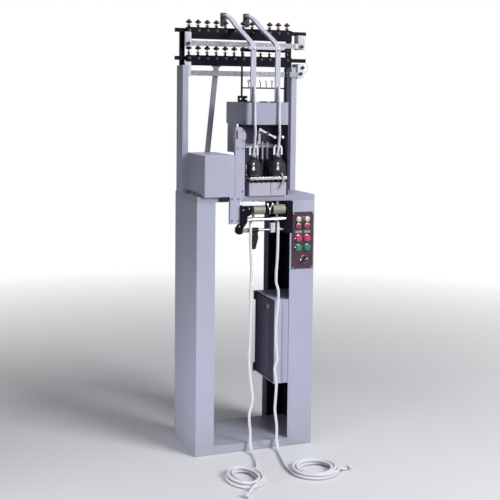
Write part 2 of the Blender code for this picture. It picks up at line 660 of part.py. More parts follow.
def make_cabinet(light, dark, grey_plastic):
    """Electrical cabinet with its hinge pins, the door on them, and the door's lock."""
    body = box(
        (CABINET_LEFT_X, CABINET_FRONT_Y, CABINET_LOW),
        (HALF_WIDTH - SHEET - GAP, CABINET_BACK_Y, CABINET_TOP),
    )
    inside = box(
        (CABINET_LEFT_X - SHEET, CABINET_FRONT_Y + SHEET, CABINET_LOW + SHEET),
        (HALF_WIDTH - 2 * SHEET - GAP, CABINET_BACK_Y - SHEET, CABINET_TOP - SHEET),
    )
    door_low = CABINET_LOW + DOOR_MARGIN
    door_high = CABINET_TOP - DOOR_MARGIN
    lugs = []
    pins = []
    knuckles = []
    bores = []
    reach = HINGE_LENGTH - HINGE_RADIUS
    inset = DOOR_MARGIN / 3
    for knuckle_low, lug_low, lug_high, pin_low, pin_high in (
        (door_low, CABINET_LOW, door_low - GAP, CABINET_LOW + inset, door_low + reach),
        (door_high - HINGE_LENGTH, door_high + GAP, CABINET_TOP, door_high - reach, CABINET_TOP - inset),
    ):
        lugs.append(box(
            (DOOR_AXIS_X - HINGE_RADIUS, DOOR_AXIS_Y - HINGE_RADIUS, lug_low),
            (CABINET_LEFT_X + SHEET / 2, CABINET_BACK_Y, lug_high),
        ))
        pins.append(rod(
            (DOOR_AXIS_X, DOOR_AXIS_Y, pin_low), (DOOR_AXIS_X, DOOR_AXIS_Y, pin_high), HINGE_PIN_RADIUS, 12,
        ))
        knuckles.append(rod(
            (DOOR_AXIS_X, DOOR_AXIS_Y, knuckle_low),
            (DOOR_AXIS_X, DOOR_AXIS_Y, knuckle_low + HINGE_LENGTH),
            HINGE_RADIUS,
        ))
        bores.append(rod(
            (DOOR_AXIS_X, DOOR_AXIS_Y, knuckle_low - SHEET),
            (DOOR_AXIS_X, DOOR_AXIS_Y, knuckle_low + HINGE_LENGTH + SHEET),
            HINGE_PIN_RADIUS + GAP, 12,
        ))
    solid("electrical_cabinet", body, light, adds=[*lugs, *pins], cuts=[inside])

    lock = Vector((DOOR_X, CABINET_FRONT_Y + LOCK_SETBACK, CABINET_LOW + LOCK_RISE))
    leaf = box((DOOR_X, CABINET_FRONT_Y, door_low), (DOOR_X + DOOR_THICK, DOOR_AXIS_Y, door_high))
    reach_in = Vector((2 * SHEET, 0.0, 0.0))
    stem_hole = rod(lock - reach_in, lock + reach_in, LOCK_STEM_RADIUS + GAP, 12)
    door = solid("cabinet_door", leaf, dark, adds=knuckles, cuts=[*bores, stem_hole])
    turns_about(door, "door_axis", (DOOR_AXIS_X, DOOR_AXIS_Y, CABINET_LOW))

    knob = turned(
        [
            (0.0, 0.006),
            (LOCK_STEM_RADIUS, 0.006),
            (LOCK_STEM_RADIUS, -GAP),
            (LOCK_RADIUS, -GAP),
            (LOCK_RADIUS, -LOCK_LENGTH * 0.8),
            (LOCK_RADIUS * 0.8, -LOCK_LENGTH),
            (0.0, -LOCK_LENGTH),
        ],
        lock, "X", 16,
    )
    lock_knob = solid("door_lock", knob, grey_plastic)
    turns_about(lock_knob, "lock_axis", lock)


def make_panel(dark, white, red, green, black):
    """Control panel with its lamps, four push buttons and the selector."""
    columns = (PANEL_X - COLUMN_SPACING / 2, PANEL_X + COLUMN_SPACING / 2)
    plate = box(
        (PANEL_X - PANEL_WIDTH / 2, PANEL_FACE_Y, PANEL_LOW),
        (PANEL_X + PANEL_WIDTH / 2, -HALF_DEPTH - GAP, PANEL_LOW + PANEL_TALL),
    )
    stems = [(x, z) for z in (STOP_BUTTON_Z, START_BUTTON_Z) for x in columns]
    stems.append((PANEL_X + SELECTOR_SHIFT, SELECTOR_Z))
    holes = [
        rod((x, PANEL_FACE_Y - SHEET, z), (x, -HALF_DEPTH + SHEET, z), BUTTON_STEM_RADIUS + GAP)
        for x, z in stems
    ]
    solid("control_panel", plate, dark, cuts=holes)

    face = PANEL_FACE_Y - GAP
    block = box(
        (columns[0] - LAMP_RADIUS - LAMP_MARGIN, face - LAMP_PLATE, RED_LAMP_Z - LAMP_RADIUS - LAMP_MARGIN),
        (columns[1] + LAMP_RADIUS + LAMP_MARGIN, face, WHITE_LAMP_Z + LAMP_RADIUS + LAMP_MARGIN),
    )
    lenses = [
        turned(
            [
                (0.0, -LAMP_PLATE / 2),
                (LAMP_RADIUS, -LAMP_PLATE / 2),
                (LAMP_RADIUS, -LAMP_LENGTH * 0.5),
                (LAMP_RADIUS * 0.6, -LAMP_LENGTH),
                (0.0, -LAMP_LENGTH),
            ],
            (x, face, z), "Y", 16,
        )
        for x in columns
        for z in (WHITE_LAMP_Z, RED_LAMP_Z)
    ]
    solid("panel_lamps", block, white, adds=lenses)

    back = face - BUTTON_TRAVEL
    for name, x, z, material in (
        ("stop_button_left", columns[0], STOP_BUTTON_Z, red),
        ("stop_button_right", columns[1], STOP_BUTTON_Z, red),
        ("start_button_left", columns[0], START_BUTTON_Z, green),
        ("start_button_right", columns[1], START_BUTTON_Z, green),
    ):
        cap = turned(
            [
                (0.0, BUTTON_STEM_LENGTH),
                (BUTTON_STEM_RADIUS, BUTTON_STEM_LENGTH),
                (BUTTON_STEM_RADIUS, 0.0),
                (BUTTON_RADIUS, 0.0),
                (BUTTON_RADIUS, -BUTTON_LENGTH * 0.8),
                (BUTTON_RADIUS * 0.8, -BUTTON_LENGTH),
                (0.0, -BUTTON_LENGTH),
            ],
            (x, back, z), "Y", 16,
        )
        button = solid(name, cap, material)
        turns_about(button, name + "_axis", (x, back, z))

    x = PANEL_X + SELECTOR_SHIFT
    base = turned(
        [
            (0.0, BUTTON_STEM_LENGTH),
            (BUTTON_STEM_RADIUS, BUTTON_STEM_LENGTH),
            (BUTTON_STEM_RADIUS, 0.0),
            (SELECTOR_RADIUS, 0.0),
            (SELECTOR_RADIUS, -SELECTOR_LENGTH),
            (0.0, -SELECTOR_LENGTH),
        ],
        (x, face, SELECTOR_Z), "Y", 16,
    )
    grip = box(
        (-SELECTOR_GRIP / 2, face - SELECTOR_LENGTH - SELECTOR_GRIP, -SELECTOR_RADIUS * 1.2),
        (SELECTOR_GRIP / 2, face - SELECTOR_LENGTH / 2, SELECTOR_RADIUS * 1.2),
    )
    tilt = Matrix.Translation((x, 0.0, SELECTOR_Z)) @ Matrix.Rotation(math.radians(45), 4, "Y")
    bmesh.ops.transform(grip, verts=grip.verts, matrix=tilt)
    selector = solid("selector_knob", base, black, adds=[grip])
    turns_about(selector, "selector_axis", (x, face, SELECTOR_Z))


def belt_outline(extra):
    """Plan outline round both pulleys, at a distance outside their rims."""
    start = Vector((MOTOR_X, MOTOR_Y))
    end = Vector((HEAD_MIDDLE_X, DRIVE_Y))
    along = end - start
    heading = math.atan2(along.y, along.x)
    lean = math.acos((MOTOR_PULLEY_RADIUS - DRIVE_PULLEY_RADIUS) / along.length)
    steps = 10
    outline = []
    for centre, radius, first, last in (
        (end, DRIVE_PULLEY_RADIUS + extra, heading - lean, heading + lean),
        (start, MOTOR_PULLEY_RADIUS + extra, heading + lean, heading - lean + 2 * math.pi),
    ):
        for step in range(steps + 1):
            angle = first + (last - first) * step / steps
            outline.append((centre.x + radius * math.cos(angle), centre.y + radius * math.sin(angle)))
    return outline


def pulley_profile(radius, shaft_radius, low, high):
    """A rimmed pulley at the belt's height on a shaft from low to high."""
    half = BELT_TALL / 2 + GAP
    rim = radius + PULLEY_RIM
    return [
        (0.0, low),
        (shaft_radius, low),
        (shaft_radius, BELT_Z - half - PULLEY_RIM),
        (rim, BELT_Z - half - PULLEY_RIM),
        (rim, BELT_Z - half),
        (radius, BELT_Z - half),
        (radius, BELT_Z + half),
        (rim, BELT_Z + half),
        (rim, BELT_Z + half + PULLEY_RIM),
        (shaft_radius, BELT_Z + half + PULLEY_RIM),
        (shaft_radius, high),
        (0.0, high),
    ]


def belt_slot(wall_x, wall):
    """A cutter where the belt passes through an upright wall."""
    share = (wall_x - MOTOR_X) / (HEAD_MIDDLE_X - MOTOR_X)
    middle = MOTOR_Y + share * (DRIVE_Y - MOTOR_Y)
    reach = DRIVE_PULLEY_RADIUS + BELT_THICK + SLOT_CLEAR
    tall = BELT_TALL / 2 + SLOT_CLEAR
    return box(
        (wall_x - wall, middle - reach, BELT_Z - tall), (wall_x + wall, middle + reach, BELT_Z + tall),
    )


def make_drive(light, black, rubber, steel, motor_grey):
    """Drive cover with its latch, the motor on its bench, its pulley and the belt."""
    top = HOUSING_LOW + COVER_TALL
    back_y = COVER_FRONT_Y + COVER_DEPTH
    shell = rounded_box(
        (COVER_LEFT_X, COVER_FRONT_Y, HOUSING_LOW - 2 * COVER_ROUND), (COVER_RIGHT_X, back_y, top), COVER_ROUND,
    )
    inside = box(
        (COVER_LEFT_X + COVER_WALL, COVER_FRONT_Y + COVER_WALL, HOUSING_LOW - 3 * COVER_ROUND),
        (COVER_RIGHT_X - COVER_WALL, back_y - COVER_WALL, top - COVER_WALL),
    )
    foot = box(
        (COVER_LEFT_X - COVER_ROUND, COVER_FRONT_Y - COVER_ROUND, HOUSING_LOW - 4 * COVER_ROUND),
        (COVER_RIGHT_X + COVER_ROUND, back_y + COVER_ROUND, HOUSING_LOW),
    )
    solid("drive_cover", shell, light, cuts=[foot, inside, belt_slot(COVER_RIGHT_X, 2 * COVER_WALL)])

    latch_z = TABLE_UNDERSIDE + TABLE_BAND / 2
    latch_back = -HALF_DEPTH - GAP
    bar = rounded_box(
        (LATCH_X - LATCH_WIDTH / 2, latch_back - LATCH_DEPTH, latch_z - LATCH_TALL / 2),
        (LATCH_X + LATCH_WIDTH / 2, latch_back, latch_z + LATCH_TALL / 2),
        0.003,
    )
    latch = solid("cover_latch", bar, black)
    turns_about(latch, "latch_axis", (LATCH_X, latch_back, latch_z))

    plate_low = BELT_Z + BELT_TALL / 2 + 2 * PULLEY_RIM
    plate_high = plate_low + MOTOR_FRAME_THICK
    near = MOTOR_Y - MOTOR_FRAME_HALF
    far = MOTOR_Y + MOTOR_FRAME_HALF
    bench = prism(
        [
            (near, HOUSING_LOW),
            (near + MOTOR_FRAME_THICK, HOUSING_LOW),
            (near + MOTOR_FRAME_THICK, plate_low),
            (far - MOTOR_FRAME_THICK, plate_low),
            (far - MOTOR_FRAME_THICK, HOUSING_LOW),
            (far, HOUSING_LOW),
            (far, plate_high),
            (near, plate_high),
        ],
        "X", MOTOR_X - MOTOR_FRAME_HALF, MOTOR_X + MOTOR_FRAME_HALF,
    )
    shaft_hole = rod(
        (MOTOR_X, MOTOR_Y, plate_low - SHEET),
        (MOTOR_X, MOTOR_Y, plate_high + MOTOR_SHAFT_GRIP),
        MOTOR_SHAFT_RADIUS + GAP,
    )
    motor_low = plate_high - GAP
    motor_high = motor_low + MOTOR_TALL
    body = turned(
        [
            (0.0, motor_low),
            (MOTOR_RADIUS, motor_low),
            (MOTOR_RADIUS, motor_high - 0.008),
            (MOTOR_RADIUS - 0.008, motor_high),
            (0.0, motor_high),
        ],
        (MOTOR_X, MOTOR_Y, 0.0),
    )
    solid("drive_motor", body, motor_grey, adds=[bench], cuts=[shaft_hole])

    small = turned(
        pulley_profile(
            MOTOR_PULLEY_RADIUS, MOTOR_SHAFT_RADIUS, BELT_Z - BELT_TALL, motor_low + MOTOR_SHAFT_GRIP - GAP,
        ),
        (MOTOR_X, MOTOR_Y, 0.0),
    )
    pulley = solid("motor_pulley", small, steel)
    turns_about(pulley, "motor_axis", (MOTOR_X, MOTOR_Y, BELT_Z))

    low = BELT_Z - BELT_TALL / 2
    high = BELT_Z + BELT_TALL / 2
    loop = prism(belt_outline(GAP + BELT_THICK), "Z", low, high)
    hollow = prism(belt_outline(GAP), "Z", low - SHEET, high + SHEET)
    solid("drive_belt", loop, rubber, cuts=[hollow])


def gear_outline(teeth, phase, centre):
    """Straight-sided teeth with running clearance."""
    pitch_radius = GEAR_MODULE * teeth / 2
    tip = pitch_radius + TOOTH_TIP * GEAR_MODULE
    root = pitch_radius - TOOTH_ROOT * GEAR_MODULE
    step = 2 * math.pi / teeth
    outline = []
    for tooth in range(teeth):
        for share, radius in (
            (-TOOTH_ROOT_HALF, root),
            (-TOOTH_TIP_HALF, tip),
            (TOOTH_TIP_HALF, tip),
            (TOOTH_ROOT_HALF, root),
        ):
            angle = phase + (tooth + share) * step
            outline.append((centre[0] + radius * math.cos(angle), centre[1] + radius * math.sin(angle)))
    return outline


def make_gears(steel):
    """Drive shaft with its pulley and gear, and the two head gears that it turns, in mesh at rest."""
    centre = (HEAD_MIDDLE_X, DRIVE_Y)
    wheel = prism(gear_outline(DRIVE_GEAR_TEETH, 0.0, centre), "Z", GEAR_LOW, GEAR_TOP)
    pulley = turned(
        pulley_profile(
            DRIVE_PULLEY_RADIUS, DRIVE_SHAFT_RADIUS, HOUSING_LOW + GAP, HOUSING_TOP + DRIVE_SHAFT_PROUD,
        ),
        (*centre, 0.0),
    )
    shaft = solid("drive_shaft", pulley, steel, adds=[wheel])
    turns_about(shaft, "drive_axis", (*centre, GEAR_LOW))

    step = 2 * math.pi / HEAD_GEAR_TEETH
    for name, x in zip(("left", "right"), HEAD_XS):
        facing = math.atan2(HEAD_Y - DRIVE_Y, x - HEAD_MIDDLE_X)
        turned_by = (facing / (2 * math.pi / DRIVE_GEAR_TEETH)) % 1.0
        phase = facing + math.pi - (0.5 - turned_by) * step
        wheel = prism(gear_outline(HEAD_GEAR_TEETH, phase, (x, HEAD_Y)), "Z", GEAR_LOW, GEAR_TOP)
        boss = rod(
            (x, HEAD_Y, HOUSING_LOW + GAP), (x, HEAD_Y, GEAR_LOW + GEAR_TALL / 2), GEAR_BOSS_RADIUS, 24,
        )
        bore = rod(
            (x, HEAD_Y, HOUSING_LOW - SHEET), (x, HEAD_Y, GEAR_TOP + SHEET), NEEDLE_TUBE_RADIUS + GAP, 24,
        )
        gear = solid("head_gear_" + name, wheel, steel, adds=[boss], cuts=[bore])
        turns_about(gear, "head_gear_axis_" + name, (x, HEAD_Y, GEAR_LOW))


def make_heads(black, steel, light):
    """Needle tubes, the drums that turn round them, the gear housing and the bright plate."""
    tube_profile = [
        (NEEDLE_TUBE_BORE, NEEDLE_TUBE_LOW),
        (NEEDLE_TUBE_RADIUS, NEEDLE_TUBE_LOW),
        (NEEDLE_TUBE_RADIUS, NEEDLE_TUBE_TOP),
        (NEEDLE_TUBE_BORE, NEEDLE_TUBE_TOP),
    ]
    bore = NEEDLE_TUBE_RADIUS + GAP
    cylinder_top = DRUM_LOW + DRUM_TALL
    cone_top = cylinder_top + DRUM_CONE_TALL
    profile = [
        (bore, GEAR_TOP + GAP),
        (HUB_RADIUS, GEAR_TOP + GAP),
        (HUB_RADIUS, DRUM_LOW),
        (DRUM_RADIUS, DRUM_LOW),
        (DRUM_RADIUS, cylinder_top),
        (DRUM_NECK_RADIUS, cone_top),
        (DRUM_COLLAR_RADIUS, cone_top),
        (DRUM_COLLAR_RADIUS, cone_top + DRUM_COLLAR_TALL),
        (bore, cone_top + DRUM_COLLAR_TALL),
    ]
    for name, x in zip(("left", "right"), HEAD_XS):
        solid("needle_tube_" + name, turned(tube_profile, (x, HEAD_Y, 0.0)), steel)
        turn = math.radians(EYE_TURN)
        ahead = Vector((-math.sin(turn), -math.cos(turn), 0.0))
        eye_middle = Vector((x, HEAD_Y, DRUM_LOW + EYE_RISE)) + ahead * DRUM_RADIUS
        eye = rod(eye_middle - ahead * EYE_PROUD, eye_middle + ahead * EYE_PROUD, EYE_RADIUS, 12)
        body = turned(profile, (x, HEAD_Y, 0.0))
        drum = solid("braiding_drum_" + name, body, black, adds=[eye])
        turns_about(drum, "drum_axis_" + name, (x, HEAD_Y, DRUM_LOW))

    case = rounded_box(
        (HOUSING_LEFT_X, HOUSING_FRONT_Y, HOUSING_LOW - 0.010),
        (HOUSING_RIGHT_X, HOUSING_BACK_Y, HOUSING_TOP),
        0.0025,
    )
    below = box(
        (HOUSING_LEFT_X - 0.01, HOUSING_FRONT_Y - 0.01, HOUSING_LOW - 0.02),
        (HOUSING_RIGHT_X + 0.01, HOUSING_BACK_Y + 0.01, HOUSING_LOW),
    )
    inside = box(
        (HOUSING_LEFT_X + HOUSING_WALL, HOUSING_FRONT_Y + HOUSING_WALL, HOUSING_LOW - 0.015),
        (HOUSING_RIGHT_X - HOUSING_WALL, HOUSING_BACK_Y - HOUSING_WALL, HOUSING_TOP - HOUSING_WALL),
    )
    top_low = HOUSING_TOP - 2 * HOUSING_WALL
    top_high = HOUSING_TOP + HOUSING_WALL
    hub_holes = [
        rod((x, HEAD_Y, top_low), (x, HEAD_Y, top_high), HUB_RADIUS + HUB_CLEAR, 24) for x in HEAD_XS
    ]
    shaft_hole = rod(
        (HEAD_MIDDLE_X, DRIVE_Y, top_low), (HEAD_MIDDLE_X, DRIVE_Y, top_high), DRIVE_SHAFT_RADIUS + GAP, 24,
    )
    slot = belt_slot(HOUSING_LEFT_X, 2 * HOUSING_WALL)
    solid("gear_housing", case, light, cuts=[below, inside, *hub_holes, shaft_hole, slot])

    front_y = HOUSING_FRONT_Y - PLATE_OVERHANG
    back_y = GUIDE_ROD_Y + PLATE_FOOT
    slab = rounded_box(
        (HOUSING_LEFT_X, front_y, PLATE_LOW), (HOUSING_RIGHT_X, back_y, PLATE_TOP), 0.002,
    )
    feet = []
    for x in (HOUSING_LEFT_X + PLATE_FOOT / 2, HOUSING_RIGHT_X - 1.5 * PLATE_FOOT):
        for y in (HOUSING_FRONT_Y + PLATE_FOOT / 2, back_y - 1.5 * PLATE_FOOT):
            feet.append(box(
                (x, y, HOUSING_TOP + GAP), (x + PLATE_FOOT, y + PLATE_FOOT, PLATE_LOW + PLATE_THICK / 2),
            ))
    holes = [
        rod((x, HEAD_Y, PLATE_LOW - SHEET), (x, HEAD_Y, PLATE_TOP + SHEET), HUB_RADIUS + HUB_CLEAR, 24)
        for x in HEAD_XS
    ]
    solid("head_plate", slab, steel, adds=feet, cuts=holes)


def hood_outline(inset):
    """The hood's plan, with its two front corners rounded."""
    left = HOOD_LEFT_X + inset
    right = FRAME_RIGHT_X - inset
    front = HOOD_FRONT_Y + inset
    back = HOOD_BACK_Y - inset
    radius = HOOD_ROUND - inset
    outline = [(right, back), (left, back)]
    steps = 6
    for centre_x, first in ((left + radius, math.pi), (right - radius, 1.5 * math.pi)):
        for step in range(steps + 1):
            angle = first + 0.5 * math.pi * step / steps
            outline.append((centre_x + radius * math.cos(angle), front + radius + radius * math.sin(angle)))
    return outline


def make_head_frame(light, dark_light, black):
    """Bent frame plate behind the heads, hood, cast bracket, casting and stop switch."""
    corner = prism(
        [
            (FRAME_LEFT_X, FRAME_BACK_Y),
            (FRAME_LEFT_X, FRAME_BACK_Y - FRAME_SHEET),
            (FRAME_RIGHT_X - FRAME_SHEET, FRAME_BACK_Y - FRAME_SHEET),
            (FRAME_RIGHT_X - FRAME_SHEET, FRAME_FRONT_Y),
            (FRAME_RIGHT_X, FRAME_FRONT_Y),
            (FRAME_RIGHT_X, FRAME_BACK_Y),
        ],
        "Z", HOUSING_LOW, HOOD_LOW - GAP,
    )
    solid("head_frame", corner, light)

    outer = prism(hood_outline(0.0), "Z", HOOD_LOW, HOOD_TOP)
    inner = prism(hood_outline(HOOD_WALL), "Z", HOOD_LOW - HOOD_WALL, HOOD_TOP - HOOD_WALL)
    skirt = box(
        (HOOD_LEFT_X, HOOD_SKIRT_FRONT_Y, HOOD_SKIRT_LOW),
        (HOOD_LEFT_X + HOOD_WALL * 0.9, HOOD_BACK_Y - HOOD_ROUND, HOOD_LOW + HOOD_WALL),
    )
    solid("hood", outer, light, adds=[skirt], cuts=[inner])

    back_y = -HALF_DEPTH - GAP
    plate = prism(
        [
            (BRACKET_LEG_LEFT_X, BRACKET_LEG_LOW),
            (BRACKET_LEG_RIGHT_X, BRACKET_LEG_LOW),
            (BRACKET_LEG_RIGHT_X, TABLE_UNDERSIDE),
            (BRACKET_RIGHT_X, TABLE_HEIGHT),
            (BRACKET_RIGHT_X, BRACKET_TOP),
            (COVER_RIGHT_X + GAP, BRACKET_TOP),
            (COVER_RIGHT_X + GAP, HOUSING_LOW - GAP),
            (BRACKET_LEG_LEFT_X, HOUSING_LOW - GAP),
        ],
        "Y", COVER_FRONT_Y, back_y,
    )
    solid("head_bracket", plate, light)

    left = COVER_RIGHT_X + GAP
    middle = (left + BRACKET_RIGHT_X) / 2
    low = BRACKET_TOP + GAP
    block = prism(
        [
            (left, low),
            (BRACKET_RIGHT_X, low),
            (BRACKET_RIGHT_X, low + CASTING_TALL * 0.25),
            (BRACKET_RIGHT_X + 0.005, low + CASTING_TALL * 0.40),
            (BRACKET_RIGHT_X + 0.005, low + CASTING_TALL * 0.60),
            (BRACKET_RIGHT_X - 0.002, low + CASTING_TALL * 0.80),
            (middle + 0.004, low + CASTING_TALL),
            (left + 0.006, low + CASTING_TALL),
            (left, low + CASTING_TALL * 0.88),
        ],
        "Y", COVER_FRONT_Y, COVER_FRONT_Y + CASTING_DEPTH,
    )
    solid("stop_motion_casting", block, dark_light)

    switch = rounded_box(
        (BRACKET_RIGHT_X + GAP, COVER_FRONT_Y, SWITCH_LOW),
        (BRACKET_RIGHT_X + GAP + SWITCH_WIDTH, COVER_FRONT_Y + SWITCH_DEPTH, SWITCH_LOW + SWITCH_TALL),
        0.002,
    )
    solid("stop_switch", switch, black)


def arch_outline(x):
    """Front outline of one arch: a round top and two straight legs."""
    half = ARCH_WIDTH / 2
    inner = ARCH_OPENING / 2
    low = ARCH_Z - ARCH_DROP
    steps = 8
    outline = [(x - half, low)]
    for step in range(steps + 1):
        angle = math.pi * (1 - step / steps)
        outline.append((x + half * math.cos(angle), ARCH_Z - half + half * math.sin(angle)))
    outline.extend([(x + half, low), (x + inner, low)])
    for step in range(steps + 1):
        angle = math.pi * step / steps
        outline.append((x + inner * math.cos(angle), ARCH_Z - half + inner * math.sin(angle)))
    outline.append((x - inner, low))
    return outline


def make_yarn_guides(steel, bright):
    """Arch guides and rods round the heads, and the stop lever on its pin."""
    wall_y = FRAME_BACK_Y - FRAME_SHEET - GAP
    strip_y = wall_y - ARCH_THICK
    arm_low = ARCH_Z - 2 * ARCH_THICK
    arm_high = ARCH_Z - ARCH_THICK
    strip = box(
        (HEAD_XS[0] - ARCH_ARM_WIDTH, strip_y, arm_low - ARCH_ARM_WIDTH),
        (HEAD_XS[1] + ARCH_ARM_WIDTH, wall_y, arm_high + ARCH_THICK / 4),
    )
    tab = box(
        (STOP_PIVOT_X - ARCH_ARM_WIDTH / 2, strip_y - GAP, arm_low - GAP),
        (STOP_PIVOT_X + ARCH_ARM_WIDTH / 2, wall_y - GAP, STOP_PIVOT_Z + ARCH_ARM_WIDTH / 2),
    )
    pin = rod(
        (STOP_PIVOT_X, wall_y - 2 * GAP, STOP_PIVOT_Z),
        (STOP_PIVOT_X, STOP_LEVER_FRONT_Y - 2 * SHEET, STOP_PIVOT_Z),
        STOP_PIN_RADIUS, 12,
    )
    joined = [tab, pin]
    for x in HEAD_XS:
        joined.append(box(
            (x - ARCH_ARM_WIDTH / 2, ARCH_FRONT_Y + ARCH_THICK / 2, arm_low),
            (x + ARCH_ARM_WIDTH / 2, wall_y - GAP, arm_high),
        ))
        joined.append(prism(arch_outline(x), "Y", ARCH_FRONT_Y, ARCH_FRONT_Y + ARCH_THICK))
    for step in (-1, 0, 1):
        x = HEAD_MIDDLE_X + step * GUIDE_ROD_SPACING
        joined.append(rod(
            (x, GUIDE_ROD_Y, PLATE_TOP + GAP), (x, GUIDE_ROD_Y, GUIDE_ROD_TOP), GUIDE_ROD_RADIUS, 12,
        ))
        joined.append(box(
            (x - GUIDE_ROD_RADIUS / 2, GUIDE_ROD_Y, arm_low),
            (x + GUIDE_ROD_RADIUS / 2, wall_y - GAP, arm_high),
        ))
    solid("yarn_guides", strip, steel, adds=joined)

    back_y = STOP_LEVER_FRONT_Y + STOP_LEVER_THICK
    bar = box(
        (-STOP_HALF_LENGTH, STOP_LEVER_FRONT_Y, -STOP_LEVER_TALL / 2),
        (STOP_HALF_LENGTH, back_y, STOP_LEVER_TALL / 2),
    )
    knobs = [
        rod((x, STOP_LEVER_FRONT_Y - SHEET, 0.0), (x, back_y + SHEET, 0.0), STOP_KNOB_RADIUS)
        for x in (-STOP_HALF_LENGTH, 0.0, STOP_HALF_LENGTH)
    ]
    bore = rod(
        (0.0, STOP_LEVER_FRONT_Y - 3 * SHEET, 0.0),
        (0.0, back_y + 3 * SHEET, 0.0),
        STOP_PIN_RADIUS + GAP, 12,
    )
    tilt = Matrix.Translation((STOP_PIVOT_X, 0.0, STOP_PIVOT_Z)) @ Matrix.Rotation(
        math.radians(STOP_LEVER_TILT), 4, "Y",
    )
    for shape in (bar, *knobs, bore):
        bmesh.ops.transform(shape, verts=shape.verts, matrix=tilt)
    lever = solid("stop_lever", bar, bright, adds=knobs, cuts=[bore])
    turns_about(lever, "stop_lever_axis", (STOP_PIVOT_X, STOP_LEVER_FRONT_Y, STOP_PIVOT_Z))


def make_take_up(steel, chrome, black, rubber):
    """Roller shafts in their frame, guide bar, lower rod with its guide block, and clamp handle."""
    inside_top = TABLE_HEIGHT - SHEET - GAP
    band_y = -HALF_DEPTH + SHEET + GAP
    front_top = TABLE_UNDERSIDE - GAP
    rollers = (
        (LEFT_ROLLER_X, LEFT_ROLLER_X + LEFT_ROLLER_LENGTH),
        (RIGHT_ROLLER_X, RIGHT_ROLLER_X + RIGHT_ROLLER_LENGTH),
    )
    shaft_end = TAKEUP_RIGHT_X + SOCKET_DEPTH - GAP

    def profile(low):
        return [
            (TAKEUP_FRONT_Y, low),
            (TAKEUP_BACK_Y, low),
            (TAKEUP_BACK_Y, inside_top),
            (band_y, inside_top),
            (band_y, front_top),
            (TAKEUP_FRONT_Y, front_top),
        ]

    def shaft_bores(low_x, high_x):
        return [
            rod((low_x, y, ROLLER_Z), (high_x, y, ROLLER_Z), ROLLER_SHAFT_RADIUS + GAP, 20)
            for y in (FRONT_ROLLER_Y, REAR_ROLLER_Y)
        ]

    bearing_left = rollers[0][1] + BEARING_MARGIN
    bearing_right = rollers[1][0] - BEARING_MARGIN
    bearing = prism(profile(BEARING_LOW), "X", bearing_left, bearing_right)
    end_plate = prism(
        profile(TAKEUP_RIGHT_LOW), "X", TAKEUP_RIGHT_X, TAKEUP_RIGHT_X + TAKEUP_RIGHT_WIDTH,
    )
    tie = box(
        (bearing_right - SHEET, band_y, inside_top - TAKEUP_TIE_THICK),
        (TAKEUP_RIGHT_X + SHEET, TAKEUP_BACK_Y, inside_top),
    )
    bores = shaft_bores(bearing_left - SHEET, TAKEUP_RIGHT_X + SOCKET_DEPTH)
    for y, z, radius in ((BAR_Y, BAR_Z, BAR_RADIUS), (LOWER_ROD_Y, LOWER_ROD_Z, LOWER_ROD_RADIUS)):
        bores.append(rod(
            (TAKEUP_RIGHT_X - SHEET, y, z), (TAKEUP_RIGHT_X + SOCKET_DEPTH, y, z), radius + GAP, 20,
        ))
    bores.append(rod(
        (HEAD_XS[1], HEAD_Y, NEEDLE_TUBE_LOW),
        (HEAD_XS[1], HEAD_Y, TABLE_HEIGHT),
        NEEDLE_TUBE_RADIUS + GAP, 20,
    ))
    solid("takeup_frame", bearing, black, adds=[tie, end_plate], cuts=bores)

    joined_x = BRACKET_LEG_RIGHT_X + GAP
    arm = prism(
        [
            (joined_x, TAKEUP_ARM_TOP),
            (joined_x, BRACKET_LEG_LOW - SHEET),
            (joined_x - 0.013, BRACKET_LEG_LOW - 0.020),
            (joined_x - 0.015, LOWER_ROD_Z - 0.004),
            (joined_x - 0.009, LOWER_ROD_Z - 0.014),
            (LOWER_ROD_LEFT_X + 0.006, LOWER_ROD_Z - 0.012),
            (LOWER_ROD_LEFT_X + 0.010, LOWER_ROD_Z + 0.014),
            (GUIDE_BAR_LEFT_X + 0.006, BAR_Z - 0.014),
            (GUIDE_BAR_LEFT_X + 0.008, BAR_Z + 0.014),
            (TAKEUP_ARM_X, ROLLER_Z - 0.018),
            (TAKEUP_ARM_X, TAKEUP_ARM_TOP),
        ],
        "Y", TAKEUP_FRONT_Y, TAKEUP_ARM_BACK_Y,
    )
    arm_sockets = [
        rod(
            (TAKEUP_ARM_X - SOCKET_DEPTH, FRONT_ROLLER_Y, ROLLER_Z),
            (TAKEUP_ARM_X + SHEET, FRONT_ROLLER_Y, ROLLER_Z),
            ROLLER_SHAFT_RADIUS + GAP, 20,
        ),
        rod((GUIDE_BAR_LEFT_X, BAR_Y, BAR_Z), (GUIDE_BAR_LEFT_X + 0.03, BAR_Y, BAR_Z), BAR_RADIUS + GAP, 20),
        rod(
            (LOWER_ROD_LEFT_X, LOWER_ROD_Y, LOWER_ROD_Z), (LOWER_ROD_LEFT_X + 0.03, LOWER_ROD_Y, LOWER_ROD_Z),
            LOWER_ROD_RADIUS + GAP, 20,
        ),
    ]
    solid("takeup_left_arm", arm, black, cuts=arm_sockets)

    for name, y, left_x, material in (
        ("front_rollers", FRONT_ROLLER_Y, TAKEUP_ARM_X - SOCKET_DEPTH + GAP, steel),
        ("rear_rollers", REAR_ROLLER_Y, REAR_SHAFT_LEFT_X, rubber),
    ):
        shaft = rod((left_x, y, ROLLER_Z), (shaft_end, y, ROLLER_Z), ROLLER_SHAFT_RADIUS, 20)
        drums = [rod((low, y, ROLLER_Z), (high, y, ROLLER_Z), ROLLER_RADIUS, 32) for low, high in rollers]
        made = solid(name, shaft, material, adds=drums)
        turns_about(made, name + "_axis", (left_x, y, ROLLER_Z))

